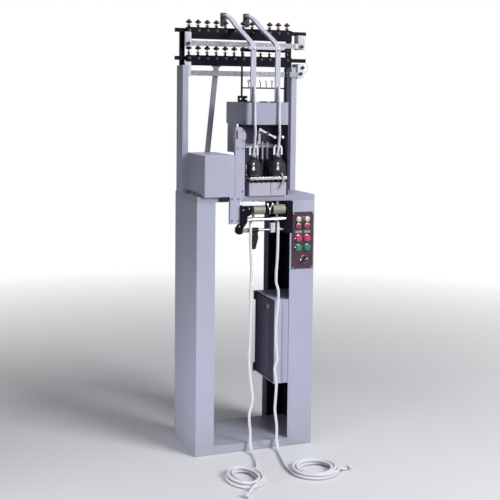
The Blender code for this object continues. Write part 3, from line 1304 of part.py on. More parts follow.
    bar = rod((GUIDE_BAR_LEFT_X + GAP, BAR_Y, BAR_Z), (shaft_end, BAR_Y, BAR_Z), BAR_RADIUS, 20)
    thin = rod(
        (LOWER_ROD_LEFT_X + GAP, LOWER_ROD_Y, LOWER_ROD_Z),
        (shaft_end, LOWER_ROD_Y, LOWER_ROD_Z),
        LOWER_ROD_RADIUS, 20,
    )
    solid("guide_bar", bar, chrome)

    rod_bore = rod(
        (CLAMP_X - CLAMP_WIDTH, LOWER_ROD_Y, LOWER_ROD_Z), (CLAMP_X + CLAMP_WIDTH, LOWER_ROD_Y, LOWER_ROD_Z),
        LOWER_ROD_RADIUS + GAP, 20,
    )
    ring = rod(
        (CLAMP_X - CLAMP_WIDTH / 2, LOWER_ROD_Y, LOWER_ROD_Z),
        (CLAMP_X + CLAMP_WIDTH / 2, LOWER_ROD_Y, LOWER_ROD_Z),
        CLAMP_RING_RADIUS, 20,
    )
    grip = prism(
        [
            (CLAMP_X - CLAMP_WIDTH * 0.35, LOWER_ROD_Z),
            (CLAMP_X - CLAMP_WIDTH * 0.5, LOWER_ROD_Z - CLAMP_LENGTH * 0.42),
            (CLAMP_X - CLAMP_TIP_WIDTH / 2 - 0.006, LOWER_ROD_Z - CLAMP_LENGTH),
            (CLAMP_X + CLAMP_TIP_WIDTH / 2 - 0.006, LOWER_ROD_Z - CLAMP_LENGTH),
            (CLAMP_X + CLAMP_WIDTH * 0.5, LOWER_ROD_Z - CLAMP_LENGTH * 0.42),
            (CLAMP_X + CLAMP_WIDTH * 0.35, LOWER_ROD_Z),
        ],
        "Y", LOWER_ROD_Y - CLAMP_THICK / 2, LOWER_ROD_Y + CLAMP_THICK / 2,
    )
    clamp = solid("clamp_handle", grip, black, adds=[ring], cuts=[rod_bore])
    turns_about(clamp, "clamp_axis", (CLAMP_X, LOWER_ROD_Y, LOWER_ROD_Z))

    block_y = LOWER_ROD_Y - GUIDE_BLOCK_DEPTH / 2
    block = rounded_box(
        (GUIDE_BLOCK_X, block_y, GUIDE_BLOCK_LOW),
        (
            GUIDE_BLOCK_X + GUIDE_BLOCK_WIDTH,
            block_y + GUIDE_BLOCK_DEPTH,
            GUIDE_BLOCK_LOW + GUIDE_BLOCK_TALL,
        ),
        0.003,
    )
    solid("lower_rod", thin, steel, adds=[block])


def make_creel(light, black, strip_grey, bracket_grey, knob_red):
    """Posts, rails, the two tiers of yarn tensioners, their strips, end brackets and the stay."""
    post_top = LOWER_BAR_LOW - GAP
    for name, left in (("left", -HALF_WIDTH), ("right", HALF_WIDTH - POST_WIDTH)):
        post = box(
            (left, POST_FRONT_Y, HOUSING_LOW), (left + POST_WIDTH, POST_FRONT_Y + POST_DEPTH, post_top),
        )
        hollow = box(
            (left + POST_WALL, POST_FRONT_Y + POST_WALL, HOUSING_LOW - SHEET),
            (left + POST_WIDTH - POST_WALL, POST_FRONT_Y + POST_DEPTH - POST_WALL, post_top + SHEET),
        )
        solid("creel_post_" + name, post, light, cuts=[hollow])

    tiers = ((UPPER_BAR_LOW, UPPER_BAR_TALL), (LOWER_BAR_LOW, LOWER_BAR_TALL))
    rail_y = BAR_BACK_Y - SHEET
    upright_y = BAR_BACK_Y + RAIL_DEPTH - SHEET
    upper_bar, lower_bar = (
        box((BAR_LEFT_X, TENSION_BAR_Y, low), (BAR_RIGHT_X, BAR_BACK_Y, low + tall)) for low, tall in tiers
    )
    frame = [
        box(
            (RAIL_LEFT_X, rail_y, low + tall - RAIL_DROP - RAIL_TALL),
            (RAIL_RIGHT_X, BAR_BACK_Y + RAIL_DEPTH, low + tall - RAIL_DROP),
        )
        for low, tall in tiers
    ]
    for left in (-HALF_WIDTH + UPRIGHT_INSET, HALF_WIDTH - UPRIGHT_INSET - UPRIGHT_WIDTH):
        frame.append(box(
            (left, upright_y, LOWER_BAR_LOW),
            (left + UPRIGHT_WIDTH, BAR_BACK_Y + 2 * RAIL_DEPTH, UPPER_BAR_LOW + UPPER_BAR_TALL - RAIL_DROP),
        ))
    solid("creel_frame", lower_bar, black, adds=[*frame, upper_bar])

    arm_xs = [x + ARM_SHIFT for x in HEAD_XS]
    for name, (low, tall), stem in (
        ("upper_tensioners", tiers[0], UPPER_STEM_TALL),
        ("lower_tensioners", tiers[1], LOWER_STEM_TALL),
    ):
        cone = stem + TENSION_DISC_TALL
        base_high = low + tall + GAP + TENSION_BASE_TALL
        base = box(
            (-TENSION_SPAN / 2 - TENSION_DISC_RADIUS, TENSION_Y - TENSION_BASE_WIDTH / 2, low + tall + GAP),
            (TENSION_SPAN / 2 + TENSION_DISC_RADIUS, TENSION_Y + TENSION_BASE_WIDTH / 2, base_high),
        )
        unit = [
            (0.0, TENSION_BASE_TALL / 2),
            (TENSION_STEM_RADIUS, TENSION_BASE_TALL / 2),
            (TENSION_STEM_RADIUS, stem),
            (TENSION_DISC_RADIUS, stem + TENSION_DISC_TALL * 0.4),
            (TENSION_DISC_RADIUS, stem + TENSION_DISC_TALL * 0.6),
            (TENSION_STEM_RADIUS, cone),
            (TENSION_STEM_RADIUS, cone + TENSION_CAP_TALL),
            (0.0, cone + TENSION_CAP_TALL),
        ]
        units = []
        for number in range(TENSION_COUNT):
            x = -TENSION_SPAN / 2 + TENSION_SPAN * number / (TENSION_COUNT - 1)
            under_arm = min(abs(x - at) for at in arm_xs) < ARM_WIDTH / 2 + TENSION_DISC_RADIUS
            if stem == UPPER_STEM_TALL and under_arm:
                continue
            units.append(turned(unit, (x, TENSION_Y, low + tall), segments=8))
        solid(name, base, knob_red, adds=units)

    back = TENSION_BAR_Y - GAP
    front = back - BRACKET_DEPTH
    strip_back = back - GAP
    strip_front = strip_back - STRIP_DEPTH
    rail_front = BAR_BACK_Y - SHEET - GAP
    upper = UPPER_STRIP_LOW - BRACKET_BELOW
    upper_strip = box(
        (BRACKET_INNER_X - SHEET, strip_front, UPPER_STRIP_LOW),
        (RIGHT_BRACKET_X + SHEET, strip_back, UPPER_STRIP_LOW + STRIP_TALL),
    )
    upper_left = box((BRACKET_LEFT_X, front, upper), (BRACKET_INNER_X, back, upper + BRACKET_RISE))
    upper_right = box(
        (RIGHT_BRACKET_X, front, upper), (UPPER_BRACKET_END_X, rail_front, upper + BRACKET_RISE),
    )
    solid("upper_creel_strip", upper_strip, bracket_grey, adds=[upper_left, upper_right])

    lower = LOWER_STRIP_LOW - BRACKET_BELOW
    beside_left_post = -HALF_WIDTH + POST_WIDTH + GAP
    beside_right_post = HALF_WIDTH - POST_WIDTH - GAP
    past_post = HALF_WIDTH + GAP
    tab_back = POST_FRONT_Y - GAP
    tab_front = tab_back - BRACKET_DEPTH / 2
    lower_strip = prism(
        [
            (BRACKET_INNER_X - SHEET, strip_front),
            (beside_right_post - STRIP_DEPTH, strip_front),
            (beside_right_post - STRIP_DEPTH, tab_front),
            (past_post + SHEET, tab_front),
            (past_post + SHEET, tab_back),
            (beside_right_post, tab_back),
            (beside_right_post, strip_back),
            (BRACKET_INNER_X - SHEET, strip_back),
        ],
        "Z", LOWER_STRIP_LOW, LOWER_STRIP_LOW + STRIP_TALL,
    )
    lower_left = prism(
        [
            (beside_left_post, lower),
            (BRACKET_INNER_X, lower),
            (BRACKET_INNER_X, lower + BRACKET_RISE),
            (BRACKET_LEFT_X, lower + BRACKET_RISE),
            (BRACKET_LEFT_X, post_top + GAP),
            (beside_left_post, post_top + GAP),
        ],
        "Y", front, back,
    )
    lower_right = box(
        (past_post, tab_front - SHEET, lower), (LOWER_BRACKET_END_X, rail_front, lower + BRACKET_RISE),
    )
    solid("lower_creel_strip", lower_strip, bracket_grey, adds=[lower_left, lower_right])

    flange_low = post_top - STAY_FLANGE_TALL
    stay = prism(
        [
            (STAY_FOOT_X - STAY_WIDTH / 2, HOUSING_LOW),
            (STAY_FOOT_X + STAY_WIDTH / 2, HOUSING_LOW),
            (STAY_TOP_X + STAY_WIDTH / 2, flange_low),
            (STAY_TOP_X + STAY_FLANGE_WIDTH / 2, flange_low),
            (STAY_TOP_X + STAY_FLANGE_WIDTH / 2, post_top),
            (STAY_TOP_X - STAY_FLANGE_WIDTH / 2, post_top),
            (STAY_TOP_X - STAY_FLANGE_WIDTH / 2, flange_low),
            (STAY_TOP_X - STAY_WIDTH / 2, flange_low),
        ],
        "Y", TENSION_Y - STAY_DEPTH / 2, TENSION_Y + STAY_DEPTH / 2,
    )
    solid("creel_stay", stay, strip_grey)


def make_guide_frame(black):
    """Black frame on the hood with its clamp, and the bar of yarn eyelets between its posts."""
    half = GUIDE_POST / 2
    low = HOOD_TOP + GAP
    clamp = box(
        (GUIDE_POST_LEFT_X - GUIDE_CLAMP_LEFT, GUIDE_POST_Y - GUIDE_CLAMP_DEPTH / 2, low),
        (
            GUIDE_POST_LEFT_X + GUIDE_CLAMP_RIGHT,
            GUIDE_POST_Y + GUIDE_CLAMP_DEPTH / 2,
            low + GUIDE_CLAMP_TALL,
        ),
    )
    left_post = box(
        (GUIDE_POST_LEFT_X - half, GUIDE_POST_Y - half, low + GUIDE_CLAMP_TALL / 2),
        (GUIDE_POST_LEFT_X + half, GUIDE_POST_Y + half, GUIDE_FRAME_TOP - GUIDE_BEAM_TALL / 2),
    )
    right_post = box(
        (GUIDE_POST_RIGHT_X - half, GUIDE_POST_Y - half, low),
        (GUIDE_POST_RIGHT_X + half, GUIDE_POST_Y + half, GUIDE_FRAME_TOP - GUIDE_BEAM_TALL / 2),
    )
    beam = box(
        (GUIDE_POST_LEFT_X - 2 * half, GUIDE_POST_Y - half - 0.001, GUIDE_FRAME_TOP - GUIDE_BEAM_TALL),
        (GUIDE_POST_RIGHT_X + 2 * half, GUIDE_POST_Y + half + 0.001, GUIDE_FRAME_TOP),
    )
    bar = box(
        (GUIDE_POST_LEFT_X, GUIDE_POST_Y - SHEET, EYELET_BAR_Z - EYELET_BAR_TALL / 2),
        (GUIDE_POST_RIGHT_X, GUIDE_POST_Y + SHEET, EYELET_BAR_Z + EYELET_BAR_TALL / 2),
    )
    stems = []
    eyelets = []
    holes = []
    for number in range(EYELET_COUNT):
        x = EYELET_FIRST_X + number * EYELET_SPACING
        z = EYELET_BAR_Z + EYELET_RISE
        stems.append(box(
            (x - EYELET_STEM / 2, GUIDE_POST_Y - EYELET_STEM / 2, EYELET_BAR_Z),
            (x + EYELET_STEM / 2, GUIDE_POST_Y + EYELET_STEM / 2, z - EYELET_RADIUS * 0.8),
        ))
        eyelets.append(rod((x, GUIDE_POST_Y - 0.002, z), (x, GUIDE_POST_Y + 0.002, z), EYELET_RADIUS, 12))
        holes.append(rod((x, GUIDE_POST_Y - 0.006, z), (x, GUIDE_POST_Y + 0.006, z), EYELET_RADIUS * 0.5, 8))
    joined = [left_post, right_post, clamp, bar, *stems, *eyelets]
    solid("guide_frame", beam, black, adds=joined, cuts=holes)


def offset_line(line, distance):
    """The line moved sideways by a distance, in its own plane."""
    moved = []
    for i, point in enumerate(line):
        before = Vector(line[max(i - 1, 0)])
        after = Vector(line[min(i + 1, len(line) - 1)])
        along = (after - before).normalized()
        moved.append((point[0] - along.y * distance, point[1] + along.x * distance))
    return moved


def make_yarn_arms(light):
    """Two flat arms that lead the yarn over the creel to the heads, tied by a crossbar."""
    reach = ARM_TIP_Y - ARM_FOOT_Y
    bent = [(ARM_FOOT_Y + share * reach, TABLE_HEIGHT + height) for share, height in ARM_LINE]
    line = [(ARM_FOOT_Y, HOOD_TOP + GAP), *bent]
    outline = offset_line(line, ARM_THICK / 2) + offset_line(line, -ARM_THICK / 2)[::-1]
    xs = [x + ARM_SHIFT for x in HEAD_XS]
    left, right = (prism(outline, "X", x - ARM_WIDTH / 2, x + ARM_WIDTH / 2) for x in xs)
    front_y = ARM_FOOT_Y - ARM_THICK / 2
    overhang = ARM_WIDTH / 2 + CROSSBAR_OVERHANG
    crossbar = box(
        (xs[0] - overhang, front_y - CROSSBAR_PROUD, CROSSBAR_Z - CROSSBAR_TALL / 2),
        (xs[1] + overhang, front_y + CROSSBAR_PROUD / 2, CROSSBAR_Z + CROSSBAR_TALL / 2),
    )
    solid("yarn_arms", left, light, adds=[crossbar, right])


def make_held_yarn(yarn):
    """Each head's yarn, from its arm through the arch, down its needle tube and out of the rollers."""
    over = YARN_RADIUS + 0.002
    arm_front = ARM_FOOT_Y - ARM_THICK / 2
    crown_y = ARCH_FRONT_Y - YARN_RADIUS
    crown_low = ARCH_Z - (ARCH_WIDTH - ARCH_OPENING) / 2
    for name, x in zip(("left", "right"), HEAD_XS):
        side = x - YARN_SHIFT
        route = [
            (side, arm_front - over, YARN_START_Z),
            (side, arm_front - over, YARN_START_Z - 0.020),
            (side, arm_front - over - 0.004, HOOD_TOP + 0.028),
            (side, HOOD_FRONT_Y - over, HOOD_TOP),
            (side, HOOD_FRONT_Y - over, HOOD_TOP - HOOD_TALL / 2),
            (side, HOOD_FRONT_Y - over - 0.004, HOOD_LOW),
            (x - YARN_SHIFT / 2, crown_y - 0.024, HOOD_LOW - HOOD_TALL / 3),
            (x - YARN_SHIFT / 5, crown_y - 0.012, ARCH_Z + 0.028),
            (x, crown_y - 0.0055, ARCH_Z + 0.009),
            (x, crown_y + 0.001, crown_low - 0.007),
            (x, HEAD_Y - 0.0012, NEEDLE_TUBE_TOP + 0.004),
            (x, HEAD_Y - 0.0002, NEEDLE_TUBE_TOP - 0.010),
            (x, HEAD_Y, NEEDLE_TUBE_TOP - 0.026),
        ]
        tube_entry = route[-1][2]
        count = round((tube_entry - NIP_EXIT_Z) / CORD_STEP)
        route.extend(
            (x, HEAD_Y, tube_entry + (NIP_EXIT_Z - tube_entry) * step / count) for step in range(1, count + 1)
        )
        tube("yarn_" + name, route, YARN_RADIUS, 2, yarn)


def ease(share):
    share = min(1.0, max(0.0, share))
    return share * share * (3 - 2 * share)


def pile_route(centre, half, way, turns, tail_end, tail_heading):
    """A loose pile: a spiral in on the floor, a half turn that climbs, and a spiral out on top.

    It starts with a straight lead and ends with a tail down to the floor beside the pile.
    """
    turns_in, turns_out = turns
    start_angle = 0.0 if way < 0 else math.pi
    stretch = half[1] - half[0]
    total = turns_in + 0.5 + turns_out
    count = round(total * PILE_LOOP_POINTS)
    inner = half[0] - PILE_PITCH * turns_in
    points = []
    for i in range(count + 1):
        turn = total * i / count
        width = inner + PILE_PITCH * max(turns_in - turn, turn - turns_in - 0.5, 0.0)
        angle = start_angle + way * 2 * math.pi * turn
        points.append(Vector((
            centre[0] + width * math.cos(angle),
            centre[1] + (width + stretch) * math.sin(angle),
            PILE_Z + PILE_LAYER * ease((turn - turns_in) / 0.5),
        )))
    away = Vector((0.0, PILE_LEAD, 0.0))
    points = [points[0] + away, points[0] + away / 2, *points]

    end = Vector((*tail_end, PILE_Z))
    last = points[-1].copy()
    leave = (points[-1] - points[-2]).normalized()
    arrive = Vector((*tail_heading, 0.0)).normalized()
    reach = (end - last).length
    steps = round(reach / (2 * CORD_RADIUS))
    for i in range(1, steps + 1):
        s = i / steps
        at = (
            last * (2 * s ** 3 - 3 * s ** 2 + 1)
            + leave * reach * (s ** 3 - 2 * s ** 2 + s)
            + end * (3 * s ** 2 - 2 * s ** 3)
            + arrive * reach * (s ** 3 - s ** 2)
        )
        fallen = ease((s - TAIL_FALL_START) / (TAIL_FALL_END - TAIL_FALL_START))
        at.z = PILE_Z + PILE_LAYER * (1 - fallen)
        points.append(at)
    points.append(end + arrive * 2 * CORD_RADIUS)
    return points


def least_gap(points, radius):
    """Smallest clear distance between stretches of one tube that aren't neighbours along it."""
    fine = []
    for a, b in zip(points, points[1:]):
        fine.extend(a.lerp(b, step / 4) for step in range(4))
    walked = [0.0]
    for a, b in zip(fine, fine[1:]):
        walked.append(walked[-1] + (b - a).length)
    least = 1.0
    for i, a in enumerate(fine):
        for j in range(i + 1, len(fine)):
            if walked[j] - walked[i] > 6 * radius:
                least = min(least, (fine[j] - a).length)
    return least - 2 * radius


def make_free_cords(cord):
    """The two finished cords: hanging run, pile on the floor and end knot of each."""
    for side, route, centre, half, way, turns, tail_end, tail_heading in (
        (
            "left", LEFT_CORD_ROUTE, LEFT_PILE_CENTRE, LEFT_PILE_HALF, -1, LEFT_PILE_TURNS,
            LEFT_TAIL_END, LEFT_TAIL_HEADING,
        ),
        (
            "right", RIGHT_CORD_ROUTE, RIGHT_PILE_CENTRE, RIGHT_PILE_HALF, 1, RIGHT_PILE_TURNS,
            RIGHT_TAIL_END, RIGHT_TAIL_HEADING,
        ),
    ):
        pile = pile_route(centre, half, way, turns, tail_end, tail_heading)
        print("cord_pile_" + side, "least gap to itself", round(least_gap(pile, CORD_RADIUS) * 1000, 2), "mm")
        meet = pile[0] + Vector((0.0, GAP, 0.0))
        straight = Vector((0.0, 2.2 * CORD_RADIUS, 0.0))
        top = (*route[0][:2], NIP_EXIT_Z - GAP)
        hang = [top, *smooth_route([*route, meet + straight], CORD_STEP), meet]
        hang = [(x, y, max(z, PILE_Z)) for x, y, z in hang]
        tube("cord_hang_" + side, hang, CORD_RADIUS, 2, cord)
        tube("cord_pile_" + side, pile, CORD_RADIUS, 1, cord)

        heading = Vector((*tail_heading, 0.0)).normalized()
        knot_start = pile[-1] + heading * GAP
        knot_start.z = KNOT_RADIUS + PILE_FLOOR_CLEAR
        ball = turned(
            [
                (0.0, 0.0),
                (CORD_RADIUS, 0.0),
                (KNOT_RADIUS, KNOT_LENGTH * 0.25),
                (KNOT_RADIUS, KNOT_LENGTH * 0.65),
                (KNOT_RADIUS * 0.6, KNOT_LENGTH),
                (0.0, KNOT_LENGTH),
            ],
            (0.0, 0.0, 0.0), "X", 12,
        )
        place = Matrix.Translation(knot_start) @ Matrix.Rotation(math.atan2(heading.y, heading.x), 4, "Z")
        bmesh.ops.transform(ball, verts=ball.verts, matrix=place)
        solid("cord_knot_" + side, ball, cord)


def main():
    clear_scene()
    light = paint("lavender_grey_paint", (0.47, 0.48, 0.60), 0.45, 0.0)
    shade = paint("lavender_casting_paint", (0.52, 0.50, 0.60), 0.55, 0.0)
    dark = paint("dark_grey_paint", (0.09, 0.09, 0.13), 0.5, 0.0)
    black = paint("black_paint", (0.012, 0.012, 0.02), 0.4, 0.0)
    rubber = paint("black_rubber", (0.02, 0.02, 0.022), 0.8, 0.0)
    steel = paint("turned_steel", (0.45, 0.45, 0.48), 0.35, 1.0)
    chrome = paint("bright_steel", (0.80, 0.80, 0.84), 0.15, 1.0)
    strip_grey = paint("grey_strip_paint", (0.30, 0.30, 0.34), 0.5, 0.0)
    bracket_grey = paint("pale_bracket_paint", (0.55, 0.55, 0.62), 0.5, 0.0)
    motor_grey = paint("motor_paint", (0.20, 0.22, 0.26), 0.5, 0.0)
    grey_plastic = paint("grey_lock", (0.40, 0.40, 0.44), 0.4, 0.0)
    white = paint("pale_lens", (0.75, 0.68, 0.58), 0.3, 0.0)
    red = paint("red_plastic", (0.55, 0.03, 0.09), 0.3, 0.0)
    green = paint("green_plastic", (0.02, 0.30, 0.16), 0.3, 0.0)
    knob_red = paint("dark_red_plastic", (0.12, 0.01, 0.02), 0.35, 0.0)
    yarn = paint("white_yarn", (0.85, 0.85, 0.88), 0.9, 0.0)
    cord = paint("white_cord", (0.88, 0.88, 0.90), 0.9, 0.0)

    make_stand(light)
    make_cabinet(light, dark, grey_plastic)
    make_panel(dark, white, red, green, black)
    make_drive(light, black, rubber, steel, motor_grey)
    make_gears(steel)
    make_heads(black, chrome, light)
    make_head_frame(light, shade, black)
    make_yarn_guides(bracket_grey, chrome)
    make_take_up(steel, chrome, black, rubber)
    make_creel(light, black, strip_grey, bracket_grey, knob_red)
    make_guide_frame(black)
    make_yarn_arms(light)
    make_held_yarn(yarn)
    make_free_cords(cord)


main()
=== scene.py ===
import math

import bmesh
import bpy
from mathutils import Matrix, Vector


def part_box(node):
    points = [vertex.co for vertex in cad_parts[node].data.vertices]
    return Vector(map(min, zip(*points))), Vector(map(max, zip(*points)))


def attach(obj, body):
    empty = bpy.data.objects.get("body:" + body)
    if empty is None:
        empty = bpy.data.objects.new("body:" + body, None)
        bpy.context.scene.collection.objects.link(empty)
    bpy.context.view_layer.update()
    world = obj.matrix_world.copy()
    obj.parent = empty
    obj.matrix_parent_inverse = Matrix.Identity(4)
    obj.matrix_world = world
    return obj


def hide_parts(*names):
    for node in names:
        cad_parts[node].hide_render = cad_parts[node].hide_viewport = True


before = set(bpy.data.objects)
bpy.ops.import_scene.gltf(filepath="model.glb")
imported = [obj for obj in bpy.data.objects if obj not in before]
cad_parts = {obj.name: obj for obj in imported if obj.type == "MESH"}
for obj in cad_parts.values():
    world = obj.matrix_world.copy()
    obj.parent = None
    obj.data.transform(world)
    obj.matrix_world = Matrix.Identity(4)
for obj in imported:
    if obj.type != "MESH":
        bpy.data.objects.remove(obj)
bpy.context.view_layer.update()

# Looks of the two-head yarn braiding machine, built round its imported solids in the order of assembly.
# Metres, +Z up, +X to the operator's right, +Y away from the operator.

# Directions: up, and out of the machine's front towards the operator.
UPWARD = (0.0, 0.0, 1.0)
OUT = (0.0, -1.0, 0.0)

# Camera: a long lens at the height of a standing photographer's eyes, in front of the machine and
# well to its left. The picture is square, and the lens is shifted down to take in the floor.
PICTURE_PIXELS = 500
FOCAL_PIXELS = 978.3681
OPTICAL_ROW = 179
SENSOR_WIDTH = 36.0
CAMERA_PLACE = Vector((-1.63244334, -4.34079140, 1.65077950))
CAMERA_YAW = 0.36545209
CAMERA_PITCH = -0.08314553
CAMERA_ROLL = 0.01108374

forward = Vector((
    math.sin(CAMERA_YAW) * math.cos(CAMERA_PITCH),
    math.cos(CAMERA_YAW) * math.cos(CAMERA_PITCH),
    math.sin(CAMERA_PITCH),
))
level = Vector((math.cos(CAMERA_YAW), -math.sin(CAMERA_YAW), 0.0))
above = level.cross(forward)
right = level * math.cos(CAMERA_ROLL) + above * math.sin(CAMERA_ROLL)
up = above * math.cos(CAMERA_ROLL) - level * math.sin(CAMERA_ROLL)
camera_data = bpy.data.cameras.new("camera")
camera_data.sensor_width = SENSOR_WIDTH
camera_data.lens = FOCAL_PIXELS / PICTURE_PIXELS * SENSOR_WIDTH
camera_data.shift_y = (OPTICAL_ROW - PICTURE_PIXELS / 2) / PICTURE_PIXELS
camera = bpy.data.objects.new("camera", camera_data)
camera.matrix_world = Matrix.Translation(CAMERA_PLACE) @ Matrix((right, up, -forward)).transposed().to_4x4()
bpy.context.scene.collection.objects.link(camera)
bpy.context.scene.camera = camera

# Finished cords: two loosely braided white cotton cords, 13 mm thick. Each leaves the nip of the
# take-up rollers, hangs to the floor, lies there in a loose pile and ends in an overhand knot.
CORD_RADIUS = 0.0065
NIP_Z = 1.1097
FLOOR_CORD_Z = 0.0069
CORD_RING_SPACING = 0.0022
CORD_PLAIT_LENGTH = 0.0105
CORD_PLAIT_COUNT = 4
CORD_PLAIT_DEPTH = 0.10
CORD_WHITE = (0.86, 0.86, 0.90)
# CORD_SHADE is the painted shade between the braid's strands.
CORD_SHADE = (0.60, 0.60, 0.68)
PILE_LOOP_POINTS = 24
PILE_PITCH = 0.0165
PILE_LAYER = 0.0142
PILE_LEAD = 0.060
TAIL_FALL_START = 0.58
TAIL_FALL_END = 0.96
CORDS = {
    "left": {
        "route": (
            (-0.012, -0.150, 1.098), (-0.027, -0.162, 1.081), (-0.035, -0.177, 1.067),
            (-0.038, -0.187, 1.050), (-0.038, -0.189, 1.030), (-0.037, -0.188, 0.970),
            (-0.031, -0.188, 0.860), (-0.034, -0.188, 0.730), (-0.034, -0.188, 0.550),
            (-0.037, -0.188, 0.440), (-0.030, -0.188, 0.350), (-0.018, -0.188, 0.250),
            (-0.034, -0.188, 0.175), (-0.028, -0.188, 0.095), (-0.029, -0.191, 0.052),
            (-0.030, -0.206, 0.021), (-0.034, -0.244, FLOOR_CORD_Z), (-0.046, -0.310, FLOOR_CORD_Z),
            (-0.068, -0.372, FLOOR_CORD_Z),
        ),
        "centre": (-0.170, -0.492), "half": (0.082, 0.110), "way": -1, "turns": (2.0, 1.56),
        "tail_end": (-0.211, -0.654), "tail_heading": (-0.55, -0.80),
    },
    "right": {
        "route": (
            (0.108, -0.150, 1.098), (0.1055, -0.162, 1.081), (0.102, -0.177, 1.067),
            (0.099, -0.187, 1.050), (0.098, -0.189, 1.030), (0.097, -0.188, 0.930),
            (0.092, -0.188, 0.805), (0.105, -0.188, 0.740), (0.094, -0.188, 0.590),
            (0.097, -0.188, 0.490), (0.102, -0.188, 0.430), (0.091, -0.188, 0.385),
            (0.100, -0.188, 0.315), (0.097, -0.188, 0.235), (0.095, -0.188, 0.185),
            (0.105, -0.188, 0.110), (0.104, -0.191, 0.055), (0.102, -0.206, 0.021),
            (0.093, -0.244, FLOOR_CORD_Z), (0.080, -0.300, FLOOR_CORD_Z), (0.066, -0.360, FLOOR_CORD_Z),
        ),
        "centre": (0.160, -0.505), "half": (0.108, 0.104), "way": 1, "turns": (2.0, 1.85),
        "tail_end": (0.285, -0.540), "tail_heading": (0.90, 0.10),
    },
}
PILE_ENTRY = 2.2 * CORD_RADIUS
STRAND_LEVEL = 0.6
KNOT_STRAND_RADIUS = 0.0048
KNOT_COUNT = 96
KNOT_LONG = 0.0042
KNOT_WIDE = 0.0026
KNOT_TALL = 0.0042


class Signal:
    """A number on a socket. Sums and products of signals add Math nodes."""

    def __init__(self, nodes, socket):
        self.nodes = nodes
        self.socket = socket

    def math(self, operation, *values, clamp=False):
        return self.nodes.node(
            "ShaderNodeMath", "Value", {"operation": operation, "use_clamp": clamp}, dict(enumerate(values)),
        )

    def __add__(self, other):
        return self.math("ADD", self, other)

    __radd__ = __add__

    def __sub__(self, other):
        return self.math("SUBTRACT", self, other)

    def __rsub__(self, other):
        return self.math("SUBTRACT", other, self)

    def __mul__(self, other):
        return self.math("MULTIPLY", self, other)

    __rmul__ = __mul__

    def __truediv__(self, other):
        return self.math("DIVIDE", self, other)

    def held(self):
        """The signal kept between 0 and 1."""
        return self.math("ADD", self, 0.0, clamp=True)


class Nodes:
    """The nodes of a material or of the world."""

    def __init__(self, owner):
        owner.use_nodes = True
        self.tree = owner.node_tree

    def feed(self, socket, value):
        if isinstance(value, Signal):
            self.tree.links.new(value.socket, socket)
        elif isinstance(value, tuple) and len(value) == 3 and socket.type == "RGBA":
            socket.default_value = (*value, 1.0)
        else:
            socket.default_value = value

    def node(self, kind, output, settings=None, inputs=None):
        """A node with its settings, then its inputs, by name or number. Gives one of its outputs."""
        made = self.tree.nodes.new(kind)
        for setting, value in (settings or {}).items():
            setattr(made, setting, value)
        for name, value in (inputs or {}).items():
            self.feed(made.inputs[name], value)
        return Signal(self, made.outputs[output]) if output is not None else made

    def mixed(self, share, first, second):
        """A colour between two others."""
        return self.node("ShaderNodeMix", 2, {"data_type": "RGBA"}, {0: share, 6: first, 7: second})


class Finish(Nodes):
    """A Principled surface whose colour, roughness and relief vary with the place on the object."""

    def __init__(self, name, colour, roughness, metallic=0.0, coat=0.0):
        self.material = bpy.data.materials.new(name)
        super().__init__(self.material)
        self.shader = self.tree.nodes["Principled BSDF"]
        self.set("Base Color", colour)
        self.set("Roughness", roughness)
        self.set("Metallic", metallic)
        self.set("Coat Weight", coat)
        self.place = self.node("ShaderNodeTexCoord", "Object")

    def set(self, name, value):
        self.feed(self.shader.inputs[name], value)

    def tint(self, share, first, second):
        """Colours the surface between two colours."""
        self.set("Base Color", self.mixed(share, first, second))

    def stretched(self, scale, place=None):
        """The place on the object, or another place, scaled apart along X, Y and Z."""
        return self.node(
            "ShaderNodeVectorMath", "Vector", {"operation": "MULTIPLY"}, {0: place or self.place, 1: scale},
        )

    def cloud(self, scale, detail=2.0, place=None):
        """Soft noise from 0 to 1."""
        return self.node(
            "ShaderNodeTexNoise", 0, None,
            {"Vector": place or self.place, "Scale": scale, "Detail": detail, "Roughness": 0.55},
        )

    def part(self, axis):
        """One coordinate of the place on the object."""
        return self.node("ShaderNodeSeparateXYZ", axis, None, {"Vector": self.place})

    def relief(self, height, distance, strength=1.0):
        self.set("Normal", self.node(
            "ShaderNodeBump", "Normal", None,
            {"Height": height, "Distance": distance, "Strength": strength},
        ))


def made_object(name, mesh, finish, body="machine"):
    """A piece of the object with its finish, riding on a body."""
    mesh.materials.clear()
    mesh.materials.append(finish.material)
    made = bpy.data.objects.new(name, mesh)
    bpy.context.scene.collection.objects.link(made)
    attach(made, body)
    return made


def smooth_route(points, spacing):
    """Points about a spacing apart along a smooth curve through the route's own points."""
    own = [Vector(point) for point in points]
    own = [2 * own[0] - own[1]] + own + [2 * own[-1] - own[-2]]
    fine = []
    for i in range(1, len(own) - 2):
        before, start, end, after = own[i - 1:i + 3]
        for step in range(24):
            t = step / 24
            fine.append(0.5 * (
                2 * start
                + (end - before) * t
                + (2 * before - 5 * start + 4 * end - after) * t ** 2
                + (3 * start - before - 3 * end + after) * t ** 3
            ))
    fine.append(own[-2])
    total = sum((b - a).length for a, b in zip(fine, fine[1:]))
    count = max(1, round(total / spacing))
    route = [fine[0]]
    walked = 0.0
    for a, b in zip(fine, fine[1:]):
        length = (b - a).length
        while len(route) < count and walked + length >= total * len(route) / count:
            route.append(a.lerp(b, (total * len(route) / count - walked) / length))
        walked += length
    route.append(fine[-1])
    return route


def ease(share):
    share = min(1.0, max(0.0, share))
    return share * share * (3 - 2 * share)


